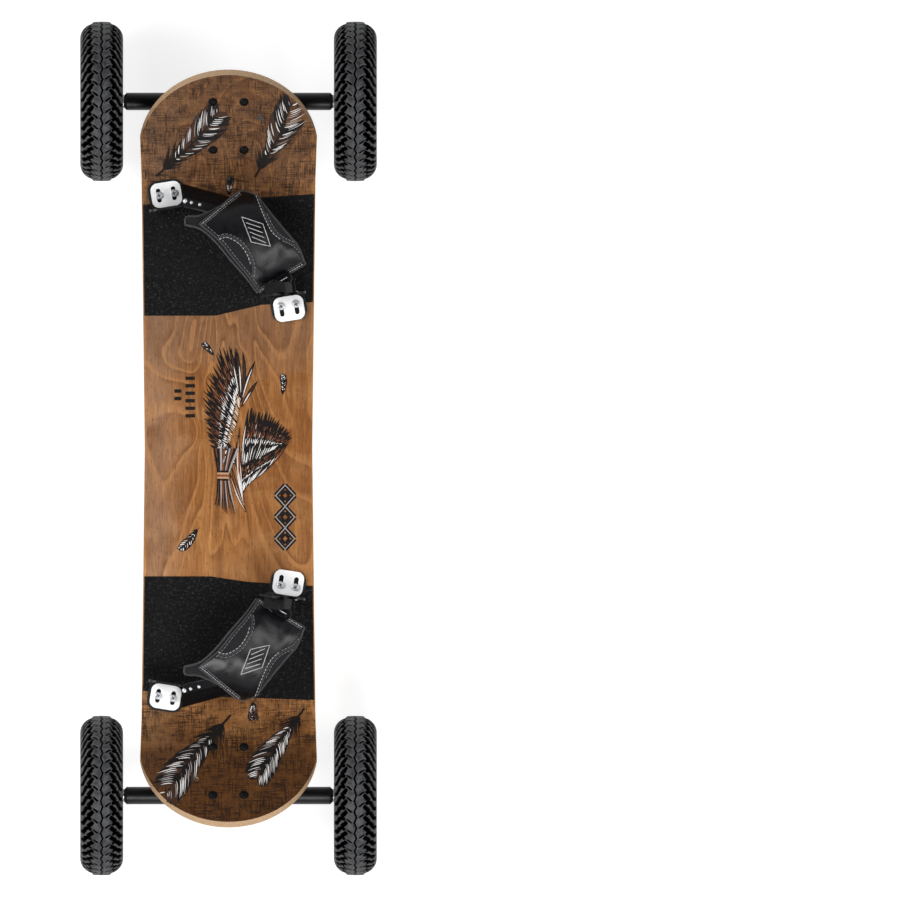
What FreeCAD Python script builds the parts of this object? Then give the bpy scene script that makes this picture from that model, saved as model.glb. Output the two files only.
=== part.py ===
"""Unpowered mountainboard: laminated deck, two channel trucks, four pneumatic wheels, two strap bindings.

Frame: millimetres, +Z up, +Y to the nose, +X to the rider's toe side. The origin is on the ground,
under the middle of the board.
"""

import FreeCAD, Part
import os
import re

import Sketcher

from FreeCAD import Placement, Rotation, Vector

SIZES = {
    # deck
    "deck_bottom": 115,
    "deck_thickness": 14,
    "bend_y": 339,
    "tip_angle": 30,
    "top_bend_radius": 22,
    "tip_end_y": 475,
    "waist_half_width": 105,
    "shoulder_half_width": 109,
    "tip_half_width": 111,
    "tip_wide_y": 395,
    "tip_radius": 112,
    "grip_thickness": 0.9,
    # bolts through the tips, measured along the tip from its bend
    "bolt_half_gauge": 19.5,
    "inner_bolt_u": 48.6,
    "outer_bolt_u": 118.1,
    "bolt_radius": 2.5,
    "bolt_hole_radius": 2.75,
    "accessory_u": 95,
    "accessory_half_gauge": 40,
    "accessory_radius": 3,
    # truck
    "plate_width": 73,
    "plate_start": 28,
    "plate_end": 136,
    "plate_thickness": 7,
    "kingpin_depth": 36,
    "kingpin_radius": 5,
    "bush_radius": 8,
    "hanger_bore_radius": 8.05,
    "hanger_half_width": 131,
    "bar_size": 22,
    "bar_chamfer": 3.5,
    "boss_radius": 17,
    "boss_start": 62,
    "boss_end": 100,
    "axle_u": 75.6,
    "axle_depth": 61,
    "axle_radius": 6,
    "axle_half_length": 184,
    "wing_top": 28,
    "wing_bottom": 34,
    "block_start": 47,
    # wheel
    "tyre_radius": 100,
    "tyre_half_width": 27,
    "bead_radius": 50,
    "wheel_x": 159,
    "wheel_y": 435,
    "bearing_radius": 14,
    "bearing_bore_radius": 6.05,
    "bearing_outer_face": 16,
    "bearing_width": 8,
    "hub_bolt_circle": 32,
    # binding
    "front_binding_x": -1,
    "front_binding_y": 247,
    "rear_binding_x": -2,
    "rear_binding_y": -240,
    "binding_turn": 9,
    "bracket_x": 64.8,
    "bracket_half_width": 24,
    "wall_y": 64,
    "wall_thickness": 3,
    "wall_height": 38,
    "foot_plate_end": 97,
    "foot_half_width": 17,
    "clamp_plate_y": 82.6,
    "clamp_plate_length": 38,
    "clamp_plate_width": 30.8,
    "clamp_shift": 4,
    "slot_length": 17.5,
    "slot_width": 5.6,
    "slot_spacing": 19,
    "pad_height": 85,
    "pad_slope": 0.25,
    "pad_half_span": 84,
    "pad_thickness": 8,
    "anchor_x": -52,
    "anchor_height": 22,
    "ladder_radius": 113,
    "ladder_half_width": 10,
    "ladder_thickness": 3,
    "buckle_rim": 3.5,
    "buckle_wall": 2.6,
    "buckle_width": 17,
    "buckle_start": 12,
    "buckle_stop": 25,
    "lever_width": 13.6,
    "lever_start": 14,
    "lever_pivot_angle": 13.5,
    "lever_pin_radius": 1.2,
    "knuckle_radius": 2.6,
    "lug_radius": 4.4,
}

doc = FreeCAD.newDocument("mountainboard")
sheet = doc.addObject("Spreadsheet::Sheet", "Sheet")
for row, (alias, number) in enumerate(SIZES.items(), start=1):
    sheet.set(f"A{row}", alias)
    sheet.set(f"B{row}", str(number))
    sheet.setAlias(f"B{row}", alias)
doc.recompute()

ALONG_X = Rotation(Vector(0, 1, 0), 90)
ALONG_Y = Rotation(Vector(1, 0, 0), -90)
HALF_TURN = Placement(Vector(), Rotation(Vector(0, 0, 1), 180))
WORD = re.compile(r"[a-z_][a-z_0-9]*")
NODES = []


def cells(text):
    """An expression with each alias of the sheet turned into a reference to its cell."""
    return WORD.sub(lambda m: "Sheet." + m[0] if m[0] in SIZES else m[0], str(text))


def size(text):
    """The number that an expression over the sheet's cells gives."""
    return float(sheet.evalExpression(cells(text)))


def bind(piece, **sizes):
    """Binds properties to expressions; a double underscore in a keyword is a dot."""
    for name, text in sizes.items():
        piece.setExpression(name.replace("__", "."), cells(text))
    return piece


def at(piece, x=0, y=0, z=0):
    """Binds where a piece stands."""
    return bind(piece, Placement__Base__x=x, Placement__Base__y=y, Placement__Base__z=z)


def box(x0, x1, y0, y1, z0, z1):
    """A box between two corners."""
    piece = doc.addObject("Part::Box", "Box")
    bind(piece, Length=f"({x1})-({x0})", Width=f"({y1})-({y0})", Height=f"({z1})-({z0})")
    return at(piece, x0, y0, z0)


def cylinder(radius, length, x=0, y=0, z=0, turn=Rotation()):
    """A cylinder from a point, along Z unless turned."""
    piece = doc.addObject("Part::Cylinder", "Cylinder")
    piece.Placement.Rotation = turn
    bind(piece, Radius=radius, Height=length)
    return at(piece, x, y, z)


def nut(across_corners_radius, height, bore, x=0, y=0, z=0, turn=Rotation()):
    """A hexagonal nut with its bore."""
    outside = doc.addObject("Part::Prism", "Nut")
    outside.Polygon = 6
    bind(outside, Circumradius=across_corners_radius, Height=height)
    piece = cut(outside, cylinder(bore, height))
    piece.Placement.Rotation = turn
    return at(piece, x, y, z)


def cut(base, *tools):
    """base with each tool taken away."""
    for tool in tools:
        piece = doc.addObject("Part::Cut", "Cut")
        piece.Base = base
        piece.Tool = tool
        base = piece
    return base


def fuse(*shapes):
    """One solid made of several."""
    piece = doc.addObject("Part::MultiFuse", "Fuse")
    piece.Shapes = list(shapes)
    piece.Refine = True
    return piece


def common(base, tool):
    """What two pieces share."""
    piece = doc.addObject("Part::Common", "Common")
    piece.Base = base
    piece.Tool = tool
    return piece


def group(pieces):
    """Separate solids kept together."""
    piece = doc.addObject("Part::Compound", "Group")
    piece.Links = list(pieces)
    return piece


def rounded(base, radius, wanted):
    """base with a fillet on every edge that wanted(edge) accepts."""
    doc.recompute()
    edges = [i for i, edge in enumerate(base.Shape.Edges, start=1) if wanted(edge)]
    piece = doc.addObject("Part::Fillet", "Fillet")
    piece.Base = base
    piece.Edges = [(i, size(radius), size(radius)) for i in edges]
    return piece


def straight_along(axis):
    """A test for straight edges along one axis of a piece not yet placed."""

    def test(edge):
        ends = [vertex.Point for vertex in edge.Vertexes]
        if len(ends) != 2 or edge.Curve.TypeId != "Part::GeomLine":
            return False
        run = (ends[1] - ends[0]).normalize()
        return abs(run.dot(axis)) > 0.999

    return test


def sketched(plane, loops):
    """A body with a sketch of closed loops on one of its origin planes, its points bound to the sheet."""
    body = doc.addObject("PartDesign::Body", "Body")
    sketch = body.newObject("Sketcher::SketchObject", "Sketch")
    support = next(f for f in body.Origin.OriginFeatures if f.Role == plane)
    sketch.AttachmentSupport = [(support, "")]
    sketch.MapMode = "FlatFace"
    constraint = Sketcher.Constraint
    for loop in loops:
        start = sketch.GeometryCount
        places = [Vector(size(a), size(b), 0) for a, b in loop]
        count = len(places)
        for i in range(count):
            sketch.addGeometry(Part.LineSegment(places[i], places[(i + 1) % count]))
        for i in range(count):
            sketch.addConstraint(constraint("Coincident", start + i, 2, start + (i + 1) % count, 1))
        for i, (a, b) in enumerate(loop):
            for kind, text, number in (("DistanceX", a, places[i].x), ("DistanceY", b, places[i].y)):
                index = sketch.addConstraint(constraint(kind, -1, 1, start + i, 1, number))
                sketch.setExpression(f"Constraints[{index}]", cells(text))
    return body, sketch


def turned(*loops):
    """A body of revolution about X. Each point is (distance along X, radius)."""
    body, sketch = sketched("XY_Plane", loops)
    feature = body.newObject("PartDesign::Revolution", "Revolution")
    feature.Profile = sketch
    feature.ReferenceAxis = (sketch, ["H_Axis"])
    feature.Angle = 360
    return body


def prism(plane, loop, length):
    """A body padded evenly both ways from a sketch on one of its origin planes."""
    body, sketch = sketched(plane, [loop])
    pad = body.newObject("PartDesign::Pad", "Pad")
    pad.Profile = sketch
    pad.SideType = "Symmetric"
    bind(pad, Length=length)
    return body


def node(label, piece, placement=None):
    """Names a finished sub-part and puts it in place."""
    piece.Label = label
    if placement is not None:
        piece.Placement = placement.multiply(piece.Placement)
    NODES.append(piece)
    return piece


def end_placement(end):
    """The identity for the front half, a half turn about Z for the rear."""
    return Placement() if end == "front" else Placement(HALF_TURN)


def tip_placement(end):
    """The frame of a tip: origin on the underside at the bend, Y along the tip, Z out of its top."""
    base = Vector(0, size("bend_y"), size("deck_bottom"))
    tilt = Placement(base, Rotation(Vector(1, 0, 0), size("tip_angle")))
    return end_placement(end).multiply(tilt)


def binding_placement(end):
    """The frame of a binding: X from the anchor to the buckle, Y from the buckle to the anchor, Z up."""
    turn = size("binding_turn")
    base = Vector(size(f"{end}_binding_x"), size(f"{end}_binding_y"), size("deck_bottom+deck_thickness"))
    return Placement(base, Rotation(Vector(0, 0, 1), turn if end == "front" else -turn))


def mirror_sign(end):
    """The rear binding is the front one mirrored in Y."""
    return 1 if end == "front" else -1


def span(low, high, sign):
    """Two expressions in order, mirrored when the sign is -1."""
    return (low, high) if sign > 0 else (f"-({high})", f"-({low})")


BOLT_PLACES = [
    (f"{side}*bolt_half_gauge", along) for side in (-1, 1) for along in ("inner_bolt_u", "outer_bolt_u")
]
CLAMP_BOLTS = [
    (f"{side}*bracket_x+{slot}*slot_spacing/2", f"{-side}*(clamp_plate_y-clamp_shift*{(side + 1) // 2})")
    for side in (-1, 1)
    for slot in (-1, 1)
]


def each_tip(make):
    """make() placed once on each tip, as separate solids."""
    pieces = []
    for end in ("front", "rear"):
        piece = group([make()])
        piece.Placement = tip_placement(end)
        pieces.append(piece)
    return group(pieces)


def each_clamp_bolt(make):
    """make(x, y) at every clamp bolt of both bindings, as separate solids."""
    pieces = []
    for end in ("front", "rear"):
        sign = mirror_sign(end)
        piece = group([make(x, f"{sign}*({y})") for x, y in CLAMP_BOLTS])
        piece.Placement = binding_placement(end)
        pieces.append(piece)
    return group(pieces)


def deck():
    """A flat middle with two raised tips, cut square to its faces and drilled."""
    half = "tip_end_y+10"
    rise = f"({half}-bend_y)*tan(tip_angle)"
    top_bend = "bend_y-deck_thickness*tan(tip_angle/2)"
    top_end = f"deck_bottom+deck_thickness/cos(tip_angle)+{rise}"
    side = [
        ("-bend_y", "deck_bottom"),
        ("bend_y", "deck_bottom"),
        (half, f"deck_bottom+{rise}"),
        (half, top_end),
        (top_bend, "deck_bottom+deck_thickness"),
        (f"-({top_bend})", "deck_bottom+deck_thickness"),
        (f"-({half})", top_end),
        (f"-({half})", f"deck_bottom+{rise}"),
    ]
    profile = prism("YZ_Plane", side, "4*tip_half_width")
    bent = rounded(
        rounded(profile, "top_bend_radius", at_height("deck_bottom+deck_thickness")),
        "top_bend_radius+deck_thickness",
        at_height("deck_bottom"),
    )
    right = [
        ("tip_half_width", f"-({half})"),
        ("tip_half_width", "-tip_wide_y"),
        ("shoulder_half_width", "-bend_y"),
        ("waist_half_width", "0"),
        ("shoulder_half_width", "bend_y"),
        ("tip_half_width", "tip_wide_y"),
        ("tip_half_width", half),
    ]
    left = [(f"-{x}", y) for x, y in reversed(right)]
    blank = prism("XY_Plane", right + left, "8*deck_bottom")
    tip_centre = "(tip_end_y-bend_y)/cos(tip_angle)-tip_radius"
    ends = each_tip(lambda: cylinder("tip_radius", "5*deck_thickness", 0, tip_centre, "-2*deck_thickness"))
    reach = f"bend_y+({tip_centre}-3)*cos(tip_angle)-deck_thickness*sin(tip_angle)"
    middle = box("-tip_radius", "tip_radius", f"-({reach})", reach, "0", "4*deck_bottom")
    board = common(common(bent, blank), fuse(middle, ends))
    truck_holes = each_tip(
        lambda: group(
            [
                cylinder("bolt_hole_radius", "3*deck_thickness", x, y, "-deck_thickness")
                for x, y in BOLT_PLACES
            ]
            + [
                cylinder(
                    "accessory_radius",
                    "3*deck_thickness",
                    f"{way}*accessory_half_gauge",
                    "accessory_u",
                    "-deck_thickness",
                )
                for way in (-1, 1)
            ]
        )
    )
    binding_holes = each_clamp_bolt(
        lambda x, y: group(
            [
                cylinder("bolt_hole_radius", "3*deck_thickness", x, y, "-2*deck_thickness"),
                cylinder("5.6", "2", x, y, "-deck_thickness-1"),
            ]
        )
    )
    node("deck", cut(board, truck_holes, binding_holes))


def at_height(height):
    """A test for edges along X that lie at one height."""

    def test(edge):
        level = all(abs(v.Z - size(height)) < 0.01 for v in edge.Vertexes)
        return level and straight_along(Vector(1, 0, 0))(edge)

    return test


def grip_tape():
    """A sheet of grip tape under each binding, cut to the deck's sides, with one stepped border."""
    top = "deck_bottom+deck_thickness"
    inset = "1.5"
    borders = {
        "front": [
            ("-130", "304"),
            ("130", "320"),
            ("130", "185"),
            ("41", "180"),
            ("-17", "166.4"),
            ("-130", "166.4"),
        ],
        "rear": [
            ("-130", "-160.3"),
            ("-23", "-160.3"),
            ("23", "-167"),
            ("130", "-174"),
            ("130", "-316"),
            ("-16", "-311"),
            ("-130", "-302"),
        ],
    }
    for end, border in borders.items():
        sides = [
            (f"{way}*(waist_half_width+(shoulder_half_width-waist_half_width)*{y}/bend_y-{inset})", f"{sign}{y}")
            for way, order in ((1, ("100", "330")), (-1, ("330", "100")))
            for sign in ("" if end == "front" else "-",)
            for y in order
        ]
        strip = common(
            prism("XY_Plane", sides, "grip_thickness"), prism("XY_Plane", border, "grip_thickness")
        )
        holes = group(
            [cylinder("3.5", "8", x, f"{mirror_sign(end)}*({y})", "-4") for x, y in CLAMP_BOLTS]
        )
        holes.Placement = binding_placement(end)
        holes.Placement.Base.z = 0
        lift = Placement(Vector(0, 0, size(f"{top}+grip_thickness/2")), Rotation())
        node(f"grip_tape_{end}", cut(strip, holes), lift)


def truck_fasteners():
    """Eight domed bolts through the tips, with their nuts under the base plates, and two kingpin nuts."""

    def bolt(x, y):
        dome = doc.addObject("Part::Sphere", "Dome")
        bind(dome, Radius="7.2")
        at(dome, x, y, "deck_thickness-4")
        head = common(dome, cylinder("5.8", "5", x, y, "deck_thickness"))
        length = "deck_thickness+plate_thickness+8"
        return fuse(head, cylinder("bolt_radius", length, x, y, "-plate_thickness-8"))

    node("truck_bolts", each_tip(lambda: group([bolt(x, y) for x, y in BOLT_PLACES])))
    node(
        "truck_nuts",
        each_tip(
            lambda: group(
                [nut("4.7", "5", "bolt_radius", x, y, "-plate_thickness-5") for x, y in BOLT_PLACES]
            )
        ),
    )
    node(
        "kingpin_nuts",
        each_tip(lambda: nut("9", "8", "kingpin_radius", 0, "34", "-kingpin_depth", ALONG_Y)),
    )
    node(
        "kingpin_bushes",
        each_tip(
            lambda: cut(
                cylinder(
                    "bush_radius", "boss_end-boss_start-1", 0, "boss_start+0.5", "-kingpin_depth", ALONG_Y
                ),
                cylinder("kingpin_radius", "boss_end-boss_start", 0, "boss_start", "-kingpin_depth", ALONG_Y),
            )
        ),
    )


def base_plate(end):
    """The casting under a tip: a plate, a pedestal round the kingpin and two cheeks for the blocks."""
    flat = box(
        "-plate_width/2", "plate_width/2", "plate_start", "plate_end", "-plate_thickness", "0"
    )
    plate = rounded(flat, "12", straight_along(Vector(0, 0, 1)))
    pedestal = box("-11", "11", "42", "56", "-kingpin_depth", "-plate_thickness+1")
    boss = cylinder("12", "14", 0, "42", "-kingpin_depth", ALONG_Y)
    cheeks = [
        box(*span("33.2", "plate_width/2", way), "block_start", "82", "-18", "-plate_thickness+1") for way in (-1, 1)
    ]
    holes = [
        cylinder("bolt_hole_radius", "plate_thickness+2", x, y, "-plate_thickness-1") for x, y in BOLT_PLACES
    ]
    bore = cylinder("kingpin_radius", "40", 0, "30", "-kingpin_depth", ALONG_Y)
    node(f"{end}_base_plate", cut(fuse(plate, pedestal, boss, *cheeks), bore, *holes), tip_placement(end))


def kingpin(end):
    """The pin that the hanger turns about, with a domed head at its outer end."""
    pin = cylinder("kingpin_radius", "boss_end-30", 0, "30.5", "-kingpin_depth", ALONG_Y)
    dome = doc.addObject("Part::Sphere", "Dome")
    bind(dome, Radius="16")
    at(dome, 0, "boss_end-6", "-kingpin_depth")
    head = common(
        dome, cylinder("12", "12", 0, "boss_end+0.3", "-kingpin_depth", ALONG_Y)
    )
    node(f"{end}_kingpin", fuse(pin, head), tip_placement(end))


def hanger(end):
    """The cross bar that holds the axle, its boss round the kingpin, and the wings under the blocks."""
    bar_outline = [
        ("-hanger_half_width", "0"),
        ("-hanger_half_width", "bar_size/2-bar_chamfer"),
        ("-hanger_half_width+bar_chamfer", "bar_size/2"),
        ("hanger_half_width-bar_chamfer", "bar_size/2"),
        ("hanger_half_width", "bar_size/2-bar_chamfer"),
        ("hanger_half_width", "0"),
    ]
    bar = turned(bar_outline)
    at(bar, 0, "axle_u", "-axle_depth")
    web = box("-20", "20", "boss_start+4", "boss_start+24", "-axle_depth+8", "-kingpin_depth")
    boss = rounded(
        cylinder("boss_radius", "boss_end-boss_start", 0, 0, 0),
        "5",
        lambda edge: edge.Curve.TypeId == "Part::GeomCircle",
    )
    boss.Placement.Rotation = ALONG_Y
    at(boss, 0, "boss_start", "-kingpin_depth")
    wings = box("-34", "34", "boss_start-1", "86", "-wing_bottom", "-wing_top")
    wings = rounded(wings, "9", straight_along(Vector(0, 0, 1)))
    bore = cylinder(
        "hanger_bore_radius", "boss_end-boss_start+4", 0, "boss_start-2", "-kingpin_depth", ALONG_Y
    )
    axle_bore = cylinder(
        "axle_radius", "2*hanger_half_width+4", "-hanger_half_width-2", "axle_u", "-axle_depth", ALONG_X
    )
    node(f"{end}_hanger", cut(fuse(bar, web, boss, wings), bore, axle_bore), tip_placement(end))


def axle(end):
    """The steel axle, its end nuts and the spacers between the hanger and the wheels."""
    rod = cylinder("axle_radius", "2*axle_half_length", "-axle_half_length", "axle_u", "-axle_depth", ALONG_X)
    tips = rounded(rod, "1", lambda edge: edge.Curve.TypeId == "Part::GeomCircle")
    node(f"{end}_axle", tips, tip_placement(end))
    fasteners = []
    for way in (-1, 1):
        nut_x = "axle_half_length-8" if way > 0 else "-axle_half_length"
        fasteners.append(nut("10", "8", "axle_radius", nut_x, "axle_u", "-axle_depth", ALONG_X))
        gap_x = "hanger_half_width" if way > 0 else "-wheel_x+bearing_outer_face+4.3"
        gap = "wheel_x-bearing_outer_face-4.3-hanger_half_width"
        ring = cut(cylinder("8.5", gap), cylinder("axle_radius", gap))
        ring.Placement.Rotation = ALONG_X
        fasteners.append(at(ring, gap_x, "axle_u", "-axle_depth"))
    node(f"{end}_axle_fasteners", group(fasteners), tip_placement(end))


def shock_blocks(end):
    """Two elastomer blocks between the hanger's wings and the base plate."""
    for way, name in ((-1, "left"), (1, "right")):
        outline = [("18", "58"), ("28", "block_start"), ("33", "block_start"), ("33", "82"), ("18", "82")]
        outline = [(f"{way}*{x}", u) for x, u in outline]
        block = prism("XY_Plane", outline, "wing_top-plate_thickness-0.4")
        block = rounded(block, "3", straight_along(Vector(0, 1, 0)))
        block = group([at(block, 0, 0, "-(wing_top+plate_thickness)/2")])
        node(f"{end}_shock_block_{name}", block, tip_placement(end))


def wheel(end, side):
    """A pneumatic wheel: tyre, inner tube, two hub halves bolted together and two bearings."""
    way = 1 if side == "right" else -1
    y = size("wheel_y") * mirror_sign(end)
    turn = Rotation() if way > 0 else Rotation(Vector(0, 0, 1), 180)
    place = Placement(Vector(way * size("wheel_x"), y, size("tyre_radius")), turn)
    prefix = f"{end}_{side}"

    outer_half = [
        ("20", "bead_radius"),
        ("24", "62"),
        ("tyre_half_width", "76"),
        ("tyre_half_width", "85"),
        ("24", "91"),
        ("12", "97.5"),
        ("10.5", "tyre_radius"),
    ]
    inner_half = [("0", "94"), ("17", "88"), ("22", "76"), ("19", "60"), ("15.5", "bead_radius")]
    carcass = [(f"-{x}", r) for x, r in outer_half] + list(reversed(outer_half))
    lining = [(x, r) for x, r in reversed(inner_half)] + [(f"-{x}", r) for x, r in inner_half[1:]]
    node(f"{prefix}_tyre", turned(carcass + lining), Placement(place))

    tube_half = [("15", "bead_radius+1"), ("18", "61"), ("21", "76"), ("16", "87"), ("0", "93")]
    hollow_half = [("13", "bead_radius+3"), ("16", "62"), ("19", "76"), ("14.8", "85.2"), ("0", "91")]
    ring = [tube_half + [(f"-{x}", r) for x, r in reversed(tube_half[:-1])]]
    ring.append(hollow_half + [(f"-{x}", r) for x, r in reversed(hollow_half[:-1])])
    node(f"{prefix}_inner_tube", turned(*ring), Placement(place))

    half_hub = [
        ("0", "7.5"),
        ("bearing_outer_face-bearing_width", "7.5"),
        ("bearing_outer_face-bearing_width", "bearing_radius"),
        ("bearing_outer_face", "bearing_radius"),
        ("bearing_outer_face", "20"),
        ("6", "22"),
        ("6", "40"),
        ("23", "43"),
        ("23", "54"),
        ("21.5", "54"),
        ("20.1", "bead_radius"),
        ("15", "bead_radius-1"),
        ("10", "46"),
        ("0", "46"),
    ]
    for way_out, name in ((1, "outer"), (-1, "inner")):
        half = turned([(f"{way_out}*({x})", r) for x, r in half_hub])
        windows = []
        bolt_holes = []
        for i in range(5):
            for radius, distance, angle, made in (
                ("6.5", "31", 72 * i, windows),
                ("2", "hub_bolt_circle", 72 * i + 36, bolt_holes),
            ):
                made.append(
                    cylinder(
                        radius, "60", "-30", f"{distance}*cos({angle})", f"{distance}*sin({angle})", ALONG_X
                    )
                )
        node(f"{prefix}_hub_{name}", cut(half, group(windows + bolt_holes)), Placement(place))

    bearings = [
        turned(
            [
                (f"{way_out}*(bearing_outer_face-bearing_width)", "bearing_bore_radius"),
                (f"{way_out}*bearing_outer_face", "bearing_bore_radius"),
                (f"{way_out}*bearing_outer_face", "bearing_radius"),
                (f"{way_out}*(bearing_outer_face-bearing_width)", "bearing_radius"),
            ]
        )
        for way_out in (-1, 1)
    ]
    node(f"{prefix}_bearings", group(bearings), Placement(place))

    bolts = []
    for i in range(5):
        spot = (f"hub_bolt_circle*cos({72 * i + 36})", f"hub_bolt_circle*sin({72 * i + 36})")
        shank = cylinder("2", "14", "-8", *spot, ALONG_X)
        bolts.append(fuse(shank, cylinder("3.6", "3", "6", *spot, ALONG_X)))
        bolts.append(nut("4", "3", "2", "-9", *spot, ALONG_X))
    node(f"{prefix}_hub_bolts", group(bolts), Placement(place))


def brackets(end):
    """The two steel angles of a binding: a foot under the clamp plate and a wall beside the foot."""
    sign = mirror_sign(end)
    for way, name in ((-1, "left"), (1, "right")):
        x_span = (f"{way}*bracket_x-bracket_half_width", f"{way}*bracket_x+bracket_half_width")
        y_way = -way * sign
        foot_outline = [
            ("bracket_half_width", "wall_y"),
            ("bracket_half_width", "wall_y+wall_thickness"),
            ("foot_half_width", "wall_y+20"),
            ("foot_half_width", "foot_plate_end"),
        ]
        foot_outline += [(f"-{x}", y) for x, y in reversed(foot_outline)]
        foot_outline = [(f"{way}*bracket_x+{x}", f"{y_way}*({y})") for x, y in foot_outline]
        foot = at(prism("XY_Plane", foot_outline, "3"), 0, 0, "grip_thickness+1.5")
        wall_span = span("wall_y", "wall_y+wall_thickness", y_way)
        wall = rounded(
            box(*x_span, *wall_span, "grip_thickness", "grip_thickness+wall_height"),
            "11",
            upper_end(Vector(0, 1, 0)),
        )
        holes = [
            cylinder("bolt_hole_radius", "6", x, f"{sign}*({y})", "0")
            for x, y in CLAMP_BOLTS
            if x.startswith(f"{way}*")
        ]
        node(f"{end}_bracket_{name}", cut(fuse(foot, wall), *holes), binding_placement(end))


def upper_end(axis):
    """A test for the upper ones of the edges along an axis."""
    along = straight_along(axis)

    def test(edge):
        return along(edge) and edge.Vertexes[0].Z > 10

    return test


def slotted_plate(x, y):
    """A rounded clamp plate with two slots."""
    half_length = "clamp_plate_length/2"
    half_width = "clamp_plate_width/2"
    blank = rounded(
        box(
            f"{x}-{half_length}",
            f"{x}+{half_length}",
            f"{y}-{half_width}",
            f"{y}+{half_width}",
            "grip_thickness+3",
            "grip_thickness+6",
        ),
        "9",
        straight_along(Vector(0, 0, 1)),
    )
    cutters = []
    for slot in (-1, 1):
        centre = f"{x}+{slot}*slot_spacing/2"
        reach = "(slot_length-slot_width)/2"
        cutters.append(
            box(
                f"{centre}-slot_width/2",
                f"{centre}+slot_width/2",
                f"{y}-{reach}",
                f"{y}+{reach}",
                "0",
                "12",
            )
        )
        cutters += [cylinder("slot_width/2", "12", centre, f"{y}+{way}*{reach}", "0") for way in (-1, 1)]
    return cut(blank, fuse(*cutters))


def clamp_hardware():
    """Clamp plates, their bolts through the deck, and the flanged nuts let into the underside."""
    plates = []
    for end in ("front", "rear"):
        sign = mirror_sign(end)
        pair = group([slotted_plate(f"{way}*bracket_x", f"{-way * sign}*clamp_plate_y") for way in (-1, 1)])
        pair.Placement = binding_placement(end)
        plates.append(pair)
    node("binding_plates", group(plates))

    def bolt(x, y):
        head = rounded(
            cylinder("4.6", "3.2", x, y, "grip_thickness+6"),
            "1.6",
            lambda edge: edge.Curve.TypeId == "Part::GeomCircle" and edge.Curve.Center.z > 8,
        )
        return fuse(head, cylinder("2.4", "grip_thickness+deck_thickness+5", x, y, "-deck_thickness+1.5"))

    node("binding_bolts", each_clamp_bolt(bolt))

    def tee_nut(x, y):
        flange = cylinder("5.5", "1", x, y, "-deck_thickness")
        barrel = cylinder("bolt_hole_radius", "6", x, y, "-deck_thickness")
        return cut(fuse(flange, barrel), cylinder("2.4", "9", x, y, "-deck_thickness-1"))

    node("binding_tee_nuts", each_clamp_bolt(tee_nut))


def arch_edge(height, half_span, power=2.5):
    """One curve across the foot, flat over the instep and steep at the sides."""
    points = []
    steps = 14
    for i in range(-steps, steps + 1):
        share = i / steps
        drop = (1 - abs(share) ** power) ** 0.55 if abs(share) < 1 else 0
        points.append(Vector(0, share * half_span, height * drop))
    curve = Part.BSplineCurve()
    curve.interpolate(points)
    return curve.toShape()


def strap_pad(end):
    """The padded instep strap with the short strap that ties it to the anchor bracket."""
    sign = mirror_sign(end)
    height, half_span, thick = size("pad_height"), size("pad_half_span"), size("pad_thickness")
    outer = arch_edge(height, half_span)
    inner = arch_edge(height - thick, half_span - thick)
    feet = [
        Part.LineSegment(Vector(0, way * half_span, 0), Vector(0, way * (half_span - thick), 0)).toShape()
        for way in (-1, 1)
    ]
    section = Part.Face(Part.Wire(Part.__sortEdges__([outer, feet[1], inner, feet[0]])))
    reach = 120
    slope = size("pad_slope")
    section.translate(Vector(-reach, 0, slope * reach))
    arch = section.extrude(Vector(2 * reach, 0, -2 * slope * reach))
    plan = [
        (-46.8, 43.6),
        (-30.4, 39.8),
        (28, 73.2),
        (49.3, 64.2),
        (72, 22),
        (94.6, -14.9),
        (94.6, -29.6),
        (31, -59.3),
        (10, -32),
        (-22, 10),
    ]
    corners = [Vector(x, y, 0) for x, y in plan]
    blank = Part.Face(Part.makePolygon(corners + corners[:1])).extrude(Vector(0, 0, 2 * height))
    pad = arch.common(blank)
    anchor_x, anchor_z, wall = size("anchor_x"), size("anchor_height"), size("wall_y")
    strap_ends = [
        (Vector(anchor_x - 9, wall - 3.8, anchor_z - 10), Vector(anchor_x + 9, wall - 3.8, anchor_z - 10)),
        (Vector(anchor_x - 9, wall - 3.8, anchor_z + 12), Vector(anchor_x + 10, wall - 3.8, anchor_z + 12)),
        (Vector(anchor_x - 2, wall - 12, 55), Vector(anchor_x + 32, wall - 4, 52)),
        (Vector(-44, 42.5, 78), Vector(-6, 49, 72)),
    ]
    bands = []
    for low, high in zip(strap_ends, strap_ends[1:]):
        side = Part.makePolygon([low[0], low[1], low[1] + Vector(0, 3, 0), low[0] + Vector(0, 3, 0), low[0]])
        top = Part.makePolygon(
            [high[0], high[1], high[1] + Vector(0, 3, 0), high[0] + Vector(0, 3, 0), high[0]]
        )
        bands.append(Part.makeLoft([side, top], True, True))
    strap = pad.fuse(bands).removeSplitter()
    if sign < 0:
        strap = strap.mirror(Vector(), Vector(0, 1, 0))
    piece = doc.addObject("Part::Feature", "StrapPad")
    piece.Shape = strap
    node(f"{end}_strap_pad", piece, binding_placement(end))


def ring_sector(inner, outer, start, stop, y_low, y_high, sign):
    """Part of a flat ring about the anchor's axis, between two angles above the horizontal."""
    solids = []
    for radius in (outer, inner):
        piece = doc.addObject("Part::Cylinder", "Sector")
        bind(piece, Radius=radius, Height=f"({y_high})-({y_low})", Angle=f"{stop}-({start})")
        upright = Rotation(Vector(1, 0, 0), 90)
        piece.Placement.Rotation = upright.multiply(Rotation(Vector(0, 0, 1), size(str(start))))
        bind(piece, Placement__Base__x="anchor_x", Placement__Base__z="anchor_height")
        bind(piece, Placement__Base__y=span(y_low, y_high, sign)[1])
        solids.append(piece)
    return cut(*solids)


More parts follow.
